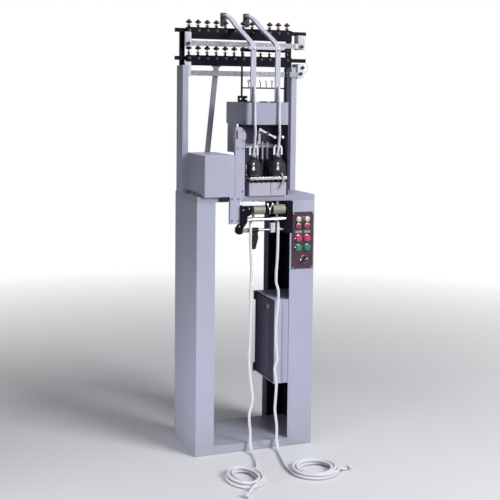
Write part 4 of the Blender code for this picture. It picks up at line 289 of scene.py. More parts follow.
def pile_route(centre, half, way, turns, tail_end, tail_heading):
    """A spiral in on the floor, a half turn that climbs, a spiral out on top, and a tail down again."""
    turns_in, turns_out = turns
    start_angle = 0.0 if way < 0 else math.pi
    stretch = half[1] - half[0]
    total = turns_in + 0.5 + turns_out
    count = round(total * PILE_LOOP_POINTS)
    inner = half[0] - PILE_PITCH * turns_in
    points = []
    for i in range(count + 1):
        turn = total * i / count
        width = inner + PILE_PITCH * max(turns_in - turn, turn - turns_in - 0.5, 0.0)
        angle = start_angle + way * 2 * math.pi * turn
        points.append(Vector((
            centre[0] + width * math.cos(angle),
            centre[1] + (width + stretch) * math.sin(angle),
            FLOOR_CORD_Z + PILE_LAYER * ease((turn - turns_in) / 0.5),
        )))
    away = Vector((0.0, PILE_LEAD, 0.0))
    points = [points[0] + away, points[0] + away / 2, *points]

    end = Vector((*tail_end, FLOOR_CORD_Z))
    last = points[-1].copy()
    leave = (points[-1] - points[-2]).normalized()
    arrive = Vector((*tail_heading, 0.0)).normalized()
    reach = (end - last).length
    steps = round(reach / (2 * CORD_RADIUS))
    for i in range(1, steps + 1):
        s = i / steps
        at = (
            last * (2 * s ** 3 - 3 * s ** 2 + 1)
            + leave * reach * (s ** 3 - 2 * s ** 2 + s)
            + end * (3 * s ** 2 - 2 * s ** 3)
            + arrive * reach * (s ** 3 - s ** 2)
        )
        fallen = ease((s - TAIL_FALL_START) / (TAIL_FALL_END - TAIL_FALL_START))
        at.z = FLOOR_CORD_Z + PILE_LAYER * (1 - fallen)
        points.append(at)
    points.append(end + arrive * 2 * CORD_RADIUS)
    return points


def strand(name, path, radius, resolution, depth, height_at):
    """A round tube along a path, raised and pressed in by a share of its radius as height_at says.

    At the height STRAND_LEVEL it keeps its radius.

    Its mesh keeps the height and the place along and round the tube as attributes for the material.
    """
    curve = bpy.data.curves.new(name, "CURVE")
    curve.dimensions = "3D"
    curve.fill_mode = "FULL"
    curve.bevel_depth = radius
    curve.bevel_resolution = resolution
    spline = curve.splines.new("POLY")
    spline.points.add(len(path) - 1)
    for point, at in zip(spline.points, path):
        point.co = (*at, 1.0)
    rope = bpy.data.objects.new(name, curve)
    bpy.context.scene.collection.objects.link(rope)
    bpy.context.view_layer.update()
    seen = rope.evaluated_get(bpy.context.evaluated_depsgraph_get())
    mesh = bpy.data.meshes.new_from_object(seen)
    bpy.data.objects.remove(rope)
    bpy.data.curves.remove(curve)
    mesh.name = name

    around = len(mesh.vertices) // len(path)
    walked = [0.0]
    for a, b in zip(path, path[1:]):
        walked.append(walked[-1] + (b - a).length)
    heights = []
    places = []
    for i, vertex in enumerate(mesh.vertices):
        ring = min(i // around, len(path) - 1)
        angle = 2 * math.pi * (i % around) / around
        height = height_at(angle, walked[ring])
        vertex.co = path[ring] + (vertex.co - path[ring]) * (1 + depth * (height - STRAND_LEVEL))
        heights.append(height)
        places.extend((radius * math.cos(angle), radius * math.sin(angle), walked[ring]))
    mesh.attributes.new("strand_height", "FLOAT", "POINT").data.foreach_set("value", heights)
    mesh.attributes.new("strand_place", "FLOAT_VECTOR", "POINT").data.foreach_set("vector", places)
    closed = bmesh.new()
    closed.from_mesh(mesh)
    bmesh.ops.holes_fill(closed, edges=closed.edges)
    bmesh.ops.recalc_face_normals(closed, faces=closed.faces)
    closed.to_mesh(mesh)
    closed.free()
    mesh.shade_smooth()
    return mesh


def plait(angle, along):
    """Height of a round braid: the crossings of two sets of strands that wind opposite ways."""
    turn = 2 * math.pi * along / CORD_PLAIT_LENGTH
    return 0.5 + 0.5 * math.cos(CORD_PLAIT_COUNT * angle + turn) * math.cos(CORD_PLAIT_COUNT * angle - turn)


def fibre_finish(name, white, shade):
    """Matte white fibre: painted shade between the strands, fine threads along them, and faint soiling."""
    finish = Finish(name, white, 0.85)
    finish.set("Sheen Weight", 0.25)
    finish.set("Specular IOR Level", 0.2)
    height = finish.node("ShaderNodeAttribute", "Fac", {"attribute_name": "strand_height"})
    place = finish.node("ShaderNodeAttribute", "Vector", {"attribute_name": "strand_place"})
    threads = finish.cloud(1.0, 2.0, finish.stretched((2400.0, 2400.0, 500.0), place))
    soiled = finish.cloud(24.0, 3.0)
    # Painted shade: the colour darkens where the strand height is low, between the strands; threads and
    # soiling vary it.
    light = (height * 0.75 + threads * 0.2 + soiled * 0.25).held()
    finish.tint(light, shade, white)
    finish.relief(height * 0.7 + threads * 0.3, 0.0012, 0.6)
    return finish


cord_finish = fibre_finish("white_cotton_cord", CORD_WHITE, CORD_SHADE)
for side, facts in CORDS.items():
    pile = pile_route(*(
        facts[fact] for fact in ("centre", "half", "way", "turns", "tail_end", "tail_heading")
    ))
    straight = Vector((0.0, PILE_ENTRY, 0.0))
    start = Vector((*facts["route"][0][:2], NIP_Z))
    path = smooth_route([start, *facts["route"], pile[0] + straight, *pile], CORD_RING_SPACING)
    path = [Vector((at.x, at.y, max(at.z, FLOOR_CORD_Z))) for at in path]
    length = sum((b - a).length for a, b in zip(path, path[1:]))
    mesh = strand("finished_cord_" + side, path, CORD_RADIUS, 8, CORD_PLAIT_DEPTH, plait)
    cord = made_object("finished_cord_" + side, mesh, cord_finish)
    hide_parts("cord_hang_" + side, "cord_pile_" + side)

    low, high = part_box("cord_knot_" + side)
    middle = (low + high) / 2
    heading = Vector((*facts["tail_heading"], 0.0)).normalized()
    across = Vector(UPWARD).cross(heading)
    knot_path = []
    for i in range(KNOT_COUNT + 1):
        t = 2 * math.pi * i / KNOT_COUNT
        along = KNOT_LONG * (math.sin(t) + 2 * math.sin(2 * t))
        aside = KNOT_WIDE * (math.cos(t) - 2 * math.cos(2 * t))
        rise = KNOT_TALL * math.sin(3 * t)
        knot_path.append(middle + heading * along + across * aside + Vector((0.0, 0.0, rise)))
    knot_mesh = strand("overhand_knot_" + side, knot_path, KNOT_STRAND_RADIUS, 6, CORD_PLAIT_DEPTH, plait)
    knot = made_object("overhand_knot_" + side, knot_mesh, cord_finish)
    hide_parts("cord_knot_" + side)

# Stand: base tray, two open legs and the table, folded from 3 mm steel sheet, welded, and powder
# coated pale lavender grey, the table a little darker. The cabinet, the head bracket and the creel
# posts have the same coat. The inside of the right leg is nearly black painted shade, with rust patches.
COAT = (0.455, 0.470, 0.590)
COAT_SHADED = (0.400, 0.410, 0.525)
TABLE_COAT = (0.380, 0.392, 0.490)
TABLE_COAT_SHADED = (0.335, 0.345, 0.435)
INTERIOR_X = (0.195, 0.2885)
INTERIOR_Y = (-0.1685, 0.1685)
INTERIOR_SHARPNESS = 2000.0
INTERIOR_PAINTED_SHADE = (0.012, 0.013, 0.018)
INTERIOR_RUST = (0.060, 0.042, 0.036)
FLOOR_DUST = (0.36, 0.35, 0.38)
DUST_HEIGHT = 0.22


def coat_finish(name, colour, shaded, grain=900.0, gloss=0.06):
    """Powder coat: an even satin skin with faint orange peel, and dust low down by the floor."""
    finish = Finish(name, colour, 0.42)
    finish.set("Specular IOR Level", gloss)
    patches = finish.cloud(5.0, 4.0)
    peel = finish.cloud(grain, 1.0)
    streaks = finish.cloud(1.0, 3.0, finish.stretched((60.0, 60.0, 4.0)))
    coat = finish.mixed((patches * 0.9 + streaks * 0.5 - 0.25).held(), shaded, colour)
    dust = ((1.0 - finish.part("Z") / DUST_HEIGHT).held() * finish.cloud(14.0, 4.0) * 0.8).held()
    finish.tint(dust, coat, FLOOR_DUST)
    finish.set("Roughness", 0.36 + patches * 0.10 + dust * 0.25)
    finish.relief(peel, 0.00025, 0.5)
    return finish


def dress(finish, *names):
    """Gives CAD nodes a finish."""
    for name in names:
        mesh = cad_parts[name].data
        mesh.materials.clear()
        mesh.materials.append(finish.material)


stand_coat = coat_finish("lavender_grey_coat", COAT, COAT_SHADED)
table_coat = coat_finish("table_coat", TABLE_COAT, TABLE_COAT_SHADED)
dress(stand_coat, "base_tray", "left_leg")
dress(table_coat, "table_top")
right_leg_coat_and_shade = coat_finish("right_leg_coat_and_shade", COAT, COAT_SHADED)
# Painted shade: inside the right leg's recess the coat gives way to nearly black shade with rust patches.
recess_shade_mask = 1.0
for part, low, high in (("X", *INTERIOR_X), ("Y", *INTERIOR_Y)):
    past_low = ((right_leg_coat_and_shade.part(part) - low) * INTERIOR_SHARPNESS).held()
    before_high = ((high - right_leg_coat_and_shade.part(part)) * INTERIOR_SHARPNESS).held()
    recess_shade_mask = past_low * before_high * recess_shade_mask
painted_recess_shade = right_leg_coat_and_shade.mixed(
    (right_leg_coat_and_shade.cloud(28.0, 5.0) * 4.0 - 2.2).held(), INTERIOR_PAINTED_SHADE, INTERIOR_RUST,
)
outside = Signal(right_leg_coat_and_shade, right_leg_coat_and_shade.shader.inputs["Base Color"].links[0].from_socket)
right_leg_coat_and_shade.tint(recess_shade_mask, outside, painted_recess_shade)
dress(right_leg_coat_and_shade, "right_leg")

# Floor bolts: hexagon heads with washers over the four holes of the base, seen inside the legs.
# Zinc-plated steel, slightly dulled.
BOLT_PLACES = [(x, y) for x in (-0.246, 0.246) for y in (-0.126, 0.126)]
BOLT_SEAT_Z = 0.0031
ZINC = (0.50, 0.50, 0.52)


def turned(profile, at, along, segments=24):
    """A round shape turned from (radius, height) pairs, with its heights along a direction."""
    bm = bmesh.new()
    verts = [bm.verts.new((radius, 0.0, height)) for radius, height in profile]
    edges = [bm.edges.new(pair) for pair in zip(verts, verts[1:])]
    if profile[0][0] > 0.0:
        edges.append(bm.edges.new((verts[-1], verts[0])))
    bmesh.ops.spin(
        bm, geom=verts + edges, cent=(0.0, 0.0, 0.0), axis=(0.0, 0.0, 1.0), angle=2 * math.pi,
        steps=segments, use_merge=True,
    )
    bmesh.ops.remove_doubles(bm, verts=bm.verts, dist=1e-6)
    bmesh.ops.recalc_face_normals(bm, faces=bm.faces)
    turn = Vector(along).to_track_quat("Z", "Y").to_matrix().to_4x4()
    bmesh.ops.transform(bm, verts=bm.verts, matrix=Matrix.Translation(at) @ turn)
    return bm


def block(low, high, edge=0.0, segments=2):
    """A box between two corners, with its edges rounded."""
    low = Vector(low)
    high = Vector(high)
    bm = bmesh.new()
    place = Matrix.Translation((low + high) / 2) @ Matrix.Diagonal((*(high - low), 1.0))
    bmesh.ops.create_cube(bm, size=1.0, matrix=place)
    if edge:
        bmesh.ops.bevel(
            bm, geom=bm.edges, offset=edge, segments=segments, affect="EDGES", profile=0.5, material=-1,
        )
    return bm


def bar(start, end, radius, segments=16, edge=0.0):
    """A round bar between two points, with its ends chamfered."""
    start = Vector(start)
    end = Vector(end)
    length = (end - start).length
    profile = [
        (0.0, 0.0), (radius - edge, 0.0), (radius, edge), (radius, length - edge),
        (radius - edge, length), (0.0, length),
    ]
    if not edge:
        profile = [(0.0, 0.0), (radius, 0.0), (radius, length), (0.0, length)]
    return turned(profile, start, end - start, segments)


def piece(name, shapes, finish, body="machine", smooth=35):
    """One piece made of several shapes, with its finish, riding on a body."""
    whole = bmesh.new()
    for shape in shapes:
        part = bpy.data.meshes.new(name)
        shape.to_mesh(part)
        shape.free()
        whole.from_mesh(part)
        bpy.data.meshes.remove(part)
    mesh = bpy.data.meshes.new(name)
    whole.to_mesh(mesh)
    whole.free()
    mesh.shade_smooth()
    mesh.set_sharp_from_angle(angle=math.radians(smooth))
    made = made_object(name, mesh, finish, body)
    return made


def hexagon_bolt(at, along, radius):
    """A washer with a hexagon head on it."""
    washer = turned(
        [(0.0, 0.0), (radius * 1.5, 0.0), (radius * 1.5, radius * 0.22), (0.0, radius * 0.22)], at, along,
    )
    at = Vector(at) + Vector(along).normalized() * radius * 0.2
    head = turned(
        [(0.0, 0.0), (radius, 0.0), (radius, radius * 0.6), (radius * 0.85, radius * 0.72),
         (0.0, radius * 0.72)],
        at, along, 6,
    )
    return [washer, head]


def steel_finish(name, colour, roughness, grain=(300.0, 300.0, 300.0), metallic=1.0):
    """Bare or plated steel with fine marks of the tool and slight dulling."""
    finish = Finish(name, colour, roughness, metallic)
    marks = finish.cloud(1.0, 2.0, finish.stretched(grain))
    dull = finish.cloud(22.0, 3.0)
    darker = tuple(0.72 * part for part in colour)
    finish.tint((dull * 1.2 - 0.1).held(), darker, colour)
    finish.set("Roughness", roughness * 0.75 + marks * roughness * 0.35 + dull * roughness * 0.25)
    finish.relief(marks, 0.00012, 0.5)
    return finish


zinc = steel_finish("zinc_plated_steel", ZINC, 0.38)
bolts = []
for x, y in BOLT_PLACES:
    bolts.extend(hexagon_bolt((x, y, BOLT_SEAT_Z), UPWARD, 0.0085))
piece("floor_bolts", bolts, zinc)

# Electrical cabinet: a folded steel box set into the right leg, coated like the stand. Its door is
# a darker grey leaf on two pin hinges, with a pressed rim and a black plug, shut by a quarter-turn
# lock whose slot across its face is a black strip of painted shade. A seam runs down the cabinet's front.
DOOR_GREY = (0.090, 0.088, 0.130)
DOOR_GREY_SHADED = (0.066, 0.064, 0.098)
LOCK_GREY = (0.33, 0.33, 0.38)
DOOR_FACE_X = 0.0922
DOOR_FLANGE = 0.016
RIM_DEPTH = 0.0022
RIM_WIDTH = 0.006
RIM_INSET = 0.004

dress(stand_coat, "electrical_cabinet")
door_coat = coat_finish("dark_grey_coat", DOOR_GREY, DOOR_GREY_SHADED)
dress(door_coat, "cabinet_door")


def plastic_finish(name, colour, roughness, coat=0.0, grain=1400.0, gloss=0.35):
    """Moulded plastic with a fine texture and faint handling marks."""
    finish = Finish(name, colour, roughness, 0.0, coat)
    finish.set("Specular IOR Level", gloss)
    handled = finish.cloud(45.0, 3.0)
    texture = finish.cloud(grain, 1.0)
    worn = tuple(min(1.0, part * 0.9 + 0.015) for part in colour)
    finish.tint((handled * 1.4 - 0.35).held(), colour, worn)
    finish.set("Roughness", roughness * 0.85 + handled * roughness * 0.3)
    finish.relief(texture, 0.00015, 0.4)
    return finish


lock_plastic = plastic_finish("grey_lock_plastic", LOCK_GREY, 0.45)
dress(lock_plastic, "door_lock")
low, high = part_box("cabinet_door")
near, far = low.y + RIM_INSET, high.y - DOOR_FLANGE
foot, head = low.z + RIM_INSET, high.z - RIM_INSET
rim = [
    block((DOOR_FACE_X - RIM_DEPTH, *strip_low), (DOOR_FACE_X + 0.0002, *strip_high), 0.0008)
    for strip_low, strip_high in (
        ((near, foot), (far, foot + RIM_WIDTH)),
        ((near, head - RIM_WIDTH), (far, head)),
        ((near, foot), (near + RIM_WIDTH, head)),
        ((far - RIM_WIDTH, foot), (far, head)),
    )
]
piece("door_pressed_rim", rim, door_coat, "door")
piece(
    "door_black_plug",
    [turned(
        [(0.0, 0.0), (0.0080, 0.0), (0.0080, 0.0012), (0.0070, 0.0022), (0.0, 0.0026)],
        (DOOR_FACE_X + 0.0002, -0.046, 0.651), (-1.0, 0.0, 0.0), 24,
    )],
    plastic_finish("plug_black", (0.008, 0.008, 0.011), 0.5, gloss=0.15), "door",
)
piece(
    "cabinet_front_seam",
    [block((0.1332, -0.1670, 0.312), (0.1352, -0.1660, 0.702), 0.0003)],
    door_coat,
)
low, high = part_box("door_lock")
slot_middle = (low + high) / 2
# The slot is a thin black strip on the lock's face: painted shade.
piece(
    "door_lock_slot",
    [block((low.x - 0.0004, slot_middle.y - 0.0012, slot_middle.z - 0.007),
           (low.x + 0.0006, slot_middle.y + 0.0012, slot_middle.z + 0.007), 0.0003)],
    plastic_finish("slot_painted_shade", (0.01, 0.01, 0.012), 0.6), "lock",
)

# Control panel: a dark grey plate over the leg's cut-out, with four screws, two rows of pilot lamps on
# a black plate, a row of blank label plates, red stop and green start buttons in collars, and a black
# selector with a white pointer.
PANEL_GREY = (0.100, 0.056, 0.082)
PANEL_GREY_SHADED = (0.074, 0.042, 0.062)
PANEL_FACE_Y = -0.1743
PANEL_X = 0.230
PANEL_COLUMNS = (0.208, 0.252)
PANEL_LOW_Z = 0.851
PANEL_HIGH_Z = 1.119
PALE_LAMP_Z = 1.085
RED_LAMP_Z = 1.054
LABEL_Z = 1.0255
STOP_Z = 0.996
START_Z = 0.952
SELECTOR_AT = (0.240, 0.895)
LENS_RADIUS = 0.0125
PALE_LENS = (0.62, 0.50, 0.40)
RED_LENS = (0.33, 0.012, 0.045)
STOP_RED = (0.62, 0.045, 0.13)
START_GREEN = (0.010, 0.26, 0.15)
LABEL_GREY = (0.25, 0.27, 0.27)
LABEL_HALF = (0.0165, 0.0060)

panel_coat = coat_finish("panel_grey_coat", PANEL_GREY, PANEL_GREY_SHADED, 1500.0)
dress(panel_coat, "control_panel")
panel_black = plastic_finish("black_panel_plastic", (0.014, 0.014, 0.020), 0.35)
lamp_plate = piece(
    "lamp_plate",
    [block((0.193, -0.1761, 1.040), (0.267, -0.1746, 1.099), 0.0006)],
    panel_black,
)
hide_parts("panel_lamps")
collars = []
for x in PANEL_COLUMNS:
    for z in (PALE_LAMP_Z, RED_LAMP_Z):
        collars.append(turned(
            [(LENS_RADIUS * 0.9, 0.0), (LENS_RADIUS * 1.12, 0.0), (LENS_RADIUS * 1.12, 0.0022),
             (LENS_RADIUS * 1.02, 0.0032), (LENS_RADIUS * 0.9, 0.0032)],
            (x, PANEL_FACE_Y - 0.0017, z), OUT, 32,
        ))
    for z in (STOP_Z, START_Z):
        collars.append(turned(
            [(0.0150, 0.0), (0.0174, 0.0), (0.0174, 0.0016), (0.0166, 0.0024), (0.0150, 0.0024)],
            (x, PANEL_FACE_Y - 0.0002, z), OUT, 32,
        ))
collars.append(turned(
    [(0.0165, 0.0), (0.0195, 0.0), (0.0195, 0.0014), (0.0187, 0.0022), (0.0165, 0.0022)],
    (SELECTOR_AT[0], PANEL_FACE_Y - 0.0002, SELECTOR_AT[1]), OUT, 32,
))
bright_plate = steel_finish("bright_plated_steel", (0.72, 0.72, 0.76), 0.16)
piece("panel_collars", collars, bright_plate)


def lens_finish(name, colour):
    """A moulded translucent lens: deep colour, glossy, with fine ribs inside."""
    finish = Finish(name, colour, 0.18, 0.0, 0.6)
    ribs = finish.node(
        "ShaderNodeTexWave", "Fac", {"bands_direction": "X"},
        {"Vector": finish.place, "Scale": 190.0, "Distortion": 0.3},
    )
    tint = tuple(min(1.0, part * 1.25 + 0.04) for part in colour)
    finish.tint(ribs, colour, tint)
    finish.set("Roughness", 0.16 + finish.cloud(60.0, 2.0) * 0.12)
    finish.relief(ribs, 0.0003, 0.4)
    return finish


for name, z, colour, slot in (
    ("pale_lenses", PALE_LAMP_Z, PALE_LENS, "pale_lens"),
    ("red_lenses", RED_LAMP_Z, RED_LENS, "red_plastic"),
):
    lenses = [
        turned(
            [(0.0, 0.0), (LENS_RADIUS * 0.96, 0.0), (LENS_RADIUS * 0.96, 0.0026),
             (LENS_RADIUS * 0.85, 0.0036), (LENS_RADIUS * 0.55, 0.0043), (0.0, 0.0046)],
            (x, PANEL_FACE_Y - 0.0016, z), OUT, 32,
        )
        for x in PANEL_COLUMNS
    ]
    piece(name, lenses, lens_finish(name + "_plastic", colour))

labels = [
    block(
        (x - LABEL_HALF[0], PANEL_FACE_Y - 0.0011, LABEL_Z - LABEL_HALF[1]),
        (x + LABEL_HALF[0], PANEL_FACE_Y + 0.0002, LABEL_Z + LABEL_HALF[1]), 0.0005,
    )
    for x in PANEL_COLUMNS
]
piece("blank_label_plates", labels, plastic_finish("label_grey", LABEL_GREY, 0.5))
for word, name, colour in (
    ("stop", "stop_red_plastic", STOP_RED), ("start", "start_green_plastic", START_GREEN),
):
    dress(plastic_finish(name, colour, 0.24, 0.4), word + "_button_left", word + "_button_right")
selector_black = plastic_finish("selector_black_plastic", (0.014, 0.014, 0.018), 0.38)
dress(selector_black, "selector_knob")
low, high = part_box("selector_knob")
pointer = block((-0.0012, low.y - 0.0004, -0.002), (0.0012, low.y + 0.0004, 0.0155), 0.0003)
tilt = Matrix.Translation((SELECTOR_AT[0], 0.0, SELECTOR_AT[1])) @ Matrix.Rotation(math.radians(45), 4, "Y")
bmesh.ops.transform(pointer, verts=pointer.verts, matrix=tilt)
piece(
    "selector_pointer", [pointer], plastic_finish("pointer_white", (0.80, 0.80, 0.80), 0.4),
    "selector",
)


def cap_screw(at, along, radius):
    """A round screw head with a hexagon socket."""
    socket = radius * 0.5
    return turned(
        [(0.0, radius * 0.35), (socket, radius * 0.35), (socket, radius * 0.8), (radius * 0.88, radius * 0.8),
         (radius, radius * 0.66), (radius, -0.0003), (0.0, -0.0003)],
        at, along, 18,
    )


screws = [
    cap_screw((x, PANEL_FACE_Y, z), OUT, 0.0032)
    for x in (PANEL_X - 0.048, PANEL_X + 0.048) for z in (PANEL_LOW_Z + 0.006, PANEL_HIGH_Z - 0.006)
]
piece("panel_screws", screws, zinc)

# Drive cover: a folded and coated sheet cover over the motor and belt, with louvres on its back, cap
# screws along its foot, and a black quarter-turn latch on the table's front band.
COVER_COAT = (0.470, 0.485, 0.605)
COVER_LOW = (-0.262, -0.190, 1.2003)
COVER_HIGH = (-0.1163, 0.085, 1.389)
VENT_COUNT = 8
VENT_PITCH = 0.011
VENT_RISE = 0.060

cover_coat = coat_finish("cover_coat", COVER_COAT, COAT_SHADED)
dress(cover_coat, "drive_cover")
fixings = []
for x in (COVER_LOW[0] + 0.014, COVER_HIGH[0] - 0.014):
    fixings.append(cap_screw((x, COVER_HIGH[1], COVER_LOW[2] + 0.012), (0.0, 1.0, 0.0), 0.0035))
for y in (COVER_LOW[1] + 0.030, COVER_HIGH[1] - 0.030):
    fixings.append(cap_screw((COVER_LOW[0], y, COVER_LOW[2] + 0.012), (-1.0, 0.0, 0.0), 0.0035))
piece("cover_screws", fixings, zinc)
vents = []
for number in range(VENT_COUNT):
    z = COVER_LOW[2] + VENT_RISE + number * VENT_PITCH
    vents.append(block(
        (-0.228, COVER_HIGH[1] - 0.0004, z), (-0.150, COVER_HIGH[1] + 0.0022, z + 0.0045), 0.0015,
    ))
piece("cover_louvres", vents, cover_coat)
black_plastic = plastic_finish("black_moulded_plastic", (0.010, 0.010, 0.014), 0.40, gloss=0.18)
dress(black_plastic, "cover_latch")

# Drive inside the cover: a geared motor with cooling fins on a folded bench, small pulley, flat rubber
# belt through the slots, and the steel drive shaft with its gear between the two head gears.
MOTOR_GREY = (0.13, 0.15, 0.19)
MOTOR_GREY_SHADED = (0.10, 0.115, 0.15)
MOTOR_AT = (-0.190, -0.095)
FIN_COUNT = 24

dress(coat_finish("motor_coat", MOTOR_GREY, MOTOR_GREY_SHADED), "drive_motor")
motor_fins = []
for number in range(FIN_COUNT):
    fin = block((0.0455, -0.0007, 1.262), (0.0495, 0.0007, 1.342), 0.0004, 1)
    turn = Matrix.Rotation(2 * math.pi * number / FIN_COUNT, 4, "Z")
    bmesh.ops.transform(fin, verts=fin.verts, matrix=Matrix.Translation((*MOTOR_AT, 0.0)) @ turn)
    motor_fins.append(fin)
fin_coat = coat_finish("fin_coat", MOTOR_GREY, MOTOR_GREY_SHADED)
piece("motor_cooling_fins", motor_fins, fin_coat)
turned_steel = steel_finish("turned_steel", (0.46, 0.46, 0.49), 0.30, (90.0, 90.0, 1400.0))
dress(turned_steel, "motor_pulley", "drive_shaft", "head_gear_left", "head_gear_right")
belt_rubber = plastic_finish("belt_rubber", (0.020, 0.020, 0.022), 0.75, 0.0, 500.0)
dress(belt_rubber, "drive_belt")

# Head frame and hood: a bent back plate coated dark and darkened further with painted shade of the
# recess, the round-cornered hood on it with black strips along its top edge and cap screws at its sides.
# The name band on its front is left bare.
HOOD_COAT = (0.400, 0.408, 0.520)
HOOD_LOW_Z = 1.527
HOOD_TOP_Z = 1.630
EDGE_BLACK = (0.018, 0.018, 0.028)

hood_coat = coat_finish("hood_coat", HOOD_COAT, (0.350, 0.355, 0.455))
dress(hood_coat, "hood")
# Painted shade: the back plate's dark coat is made darker still for the shade in the recess.
back_plate_coat_and_shade = coat_finish("recess_coat_and_painted_shade", (0.080, 0.082, 0.130), (0.050, 0.052, 0.085), 900.0, 0.08)
dress(back_plate_coat_and_shade, "head_frame")
# Black strips along the hood's top front edge.
top_edge_black = plastic_finish("hood_top_dark_strip", EDGE_BLACK, 0.6)
edges = [
    block((left, -0.1785, HOOD_TOP_Z - 0.0030), (far, -0.168, HOOD_TOP_Z + 0.0040), 0.0015)
    for left, far in ((-0.058, -0.030), (0.005, 0.044), (0.054, 0.088))
]
piece("hood_edge_strip", edges, top_edge_black)
hood_screws = []
for z in (HOOD_LOW_Z + 0.014, HOOD_TOP_Z - 0.014):
    for y in (-0.140, 0.060):
        hood_screws.append(cap_screw((-0.062, y, z), (-1.0, 0.0, 0.0), 0.0038))
        hood_screws.append(cap_screw((0.152, y, z), (1.0, 0.0, 0.0), 0.0038))
piece("hood_screws", hood_screws, hood_coat)

# Cast bracket, the stop-motion casting on it and the stop switch: grey-painted castings with cap
# screws, a black strip of painted shade for the slot in the casting where its feeler works, and a black
# switch with a roller arm.
CASTING_COAT = (0.50, 0.465, 0.585)
BRACKET_FACE_Y = -0.190

dress(stand_coat, "head_bracket")
casting_coat = coat_finish("casting_coat", CASTING_COAT, (0.42, 0.39, 0.50), 320.0)
dress(casting_coat, "stop_motion_casting")
# Painted shade: a thin black strip on the casting's face for its slot.
piece(
    "casting_slot_painted_shade",
    [block((-0.1125, BRACKET_FACE_Y - 0.0006, 1.462), (-0.1055, BRACKET_FACE_Y + 0.0006, 1.502), 0.0005)],
    black_plastic,
)
bracket_screws = [
    cap_screw((x, BRACKET_FACE_Y, z), OUT, 0.0040)
    for x, z in (
        (-0.130, 1.190), (-0.100, 1.190), (-0.130, 1.090), (-0.100, 1.090), (-0.079, 1.225),
        (-0.079, 1.420), (-0.105, 1.420), (-0.080, 1.455), (-0.080, 1.500),
    )
]
dark_screw_steel = steel_finish("dark_screw_steel", (0.20, 0.20, 0.22), 0.35)
piece("bracket_screws", bracket_screws, dark_screw_steel)
dress(black_plastic, "stop_switch")
lever_steel = steel_finish("dark_lever_steel", (0.12, 0.12, 0.13), 0.35)
piece(
    "switch_roller_arm",
    [
        block((-0.0675, -0.1925, 1.300), (-0.0625, -0.1898, 1.346), 0.0006),
        bar((-0.0692, -0.1915, 1.298), (-0.0598, -0.1915, 1.298), 0.0045, 20, 0.0006),
    ],
    lever_steel,
)

# Braiding heads: a coated gear housing with a seam down its front, a bright ground plate on it held
# by black knurled nuts, steel needle tubes, and the black drums with their needles, rings, and pale
# ceramic eyes turned to face the camera, each with a white painted highlight round it on the drum.
HOUSING_FRONT_Y = -0.1815
HOUSING_SEAM_X = 0.062
DRUM_AXES = {"left": (-0.012, -0.150), "right": (0.108, -0.150)}
DRUM_LOW_Z = 1.2913
DRUM_BLACK = (0.012, 0.012, 0.018)
DRUM_WALL_TALL = 0.052
DRUM_RADIUS = 0.038
CERAMIC_AND_HIGHLIGHT_WHITE = (0.86, 0.85, 0.86)
EYE_RISE = 0.034
HIGHLIGHT_RADIUS = 0.0074
HIGHLIGHT_EDGE_SHARPNESS = 4000.0
PROUD_EDGE_SHARPNESS = 6000.0
# The eyes, and the painted highlight round them, face the camera.
EYE_TURN_TO_CAMERA = math.radians(21)
eye_way = Vector((-math.sin(EYE_TURN_TO_CAMERA), -math.cos(EYE_TURN_TO_CAMERA), 0.0))
EYE_LEAN = math.radians(-6)
EYE_FLATNESS = 0.40
NEEDLE_COUNT = 20
NEEDLE_CIRCLE = 0.0184
BUTT_CIRCLE = 0.0378
BUTT_MARGIN = 0.004
HOOK_POINTS = ((0.1094, 1.305), (0.1197, 1.2817), (0.1176, 1.2586), (0.1054, 1.2356))
HOOK_Y = -0.1935
PLATE_NUT_XS = (-0.033, -0.008, 0.018, 0.044, 0.070, 0.096, 0.124)
GUIDE_ROD_XS = (0.0235, 0.048, 0.0725)

dress(coat_finish("housing_coat", (0.50, 0.475, 0.58), (0.43, 0.41, 0.50), 700.0), "gear_housing")
ground_plate = steel_finish("ground_plate_steel", (0.82, 0.82, 0.88), 0.20, (500.0, 40.0, 500.0))
dress(ground_plate, "head_plate")
piece(
    "housing_seam",
    [block(
        (HOUSING_SEAM_X - 0.001, HOUSING_FRONT_Y - 0.0004, 1.203),
        (HOUSING_SEAM_X + 0.001, HOUSING_FRONT_Y + 0.001, 1.260),
    )],
    black_plastic,
)
nuts = [
    turned(
        [(0.0, 0.0), (0.0055, 0.0), (0.0062, 0.001), (0.0062, 0.009), (0.0050, 0.0108), (0.0, 0.0108)],
        (x, -0.1835, 1.2626), UPWARD, 12,
    )
    for x in PLATE_NUT_XS
]
piece("plate_knurled_nuts", nuts, black_plastic)


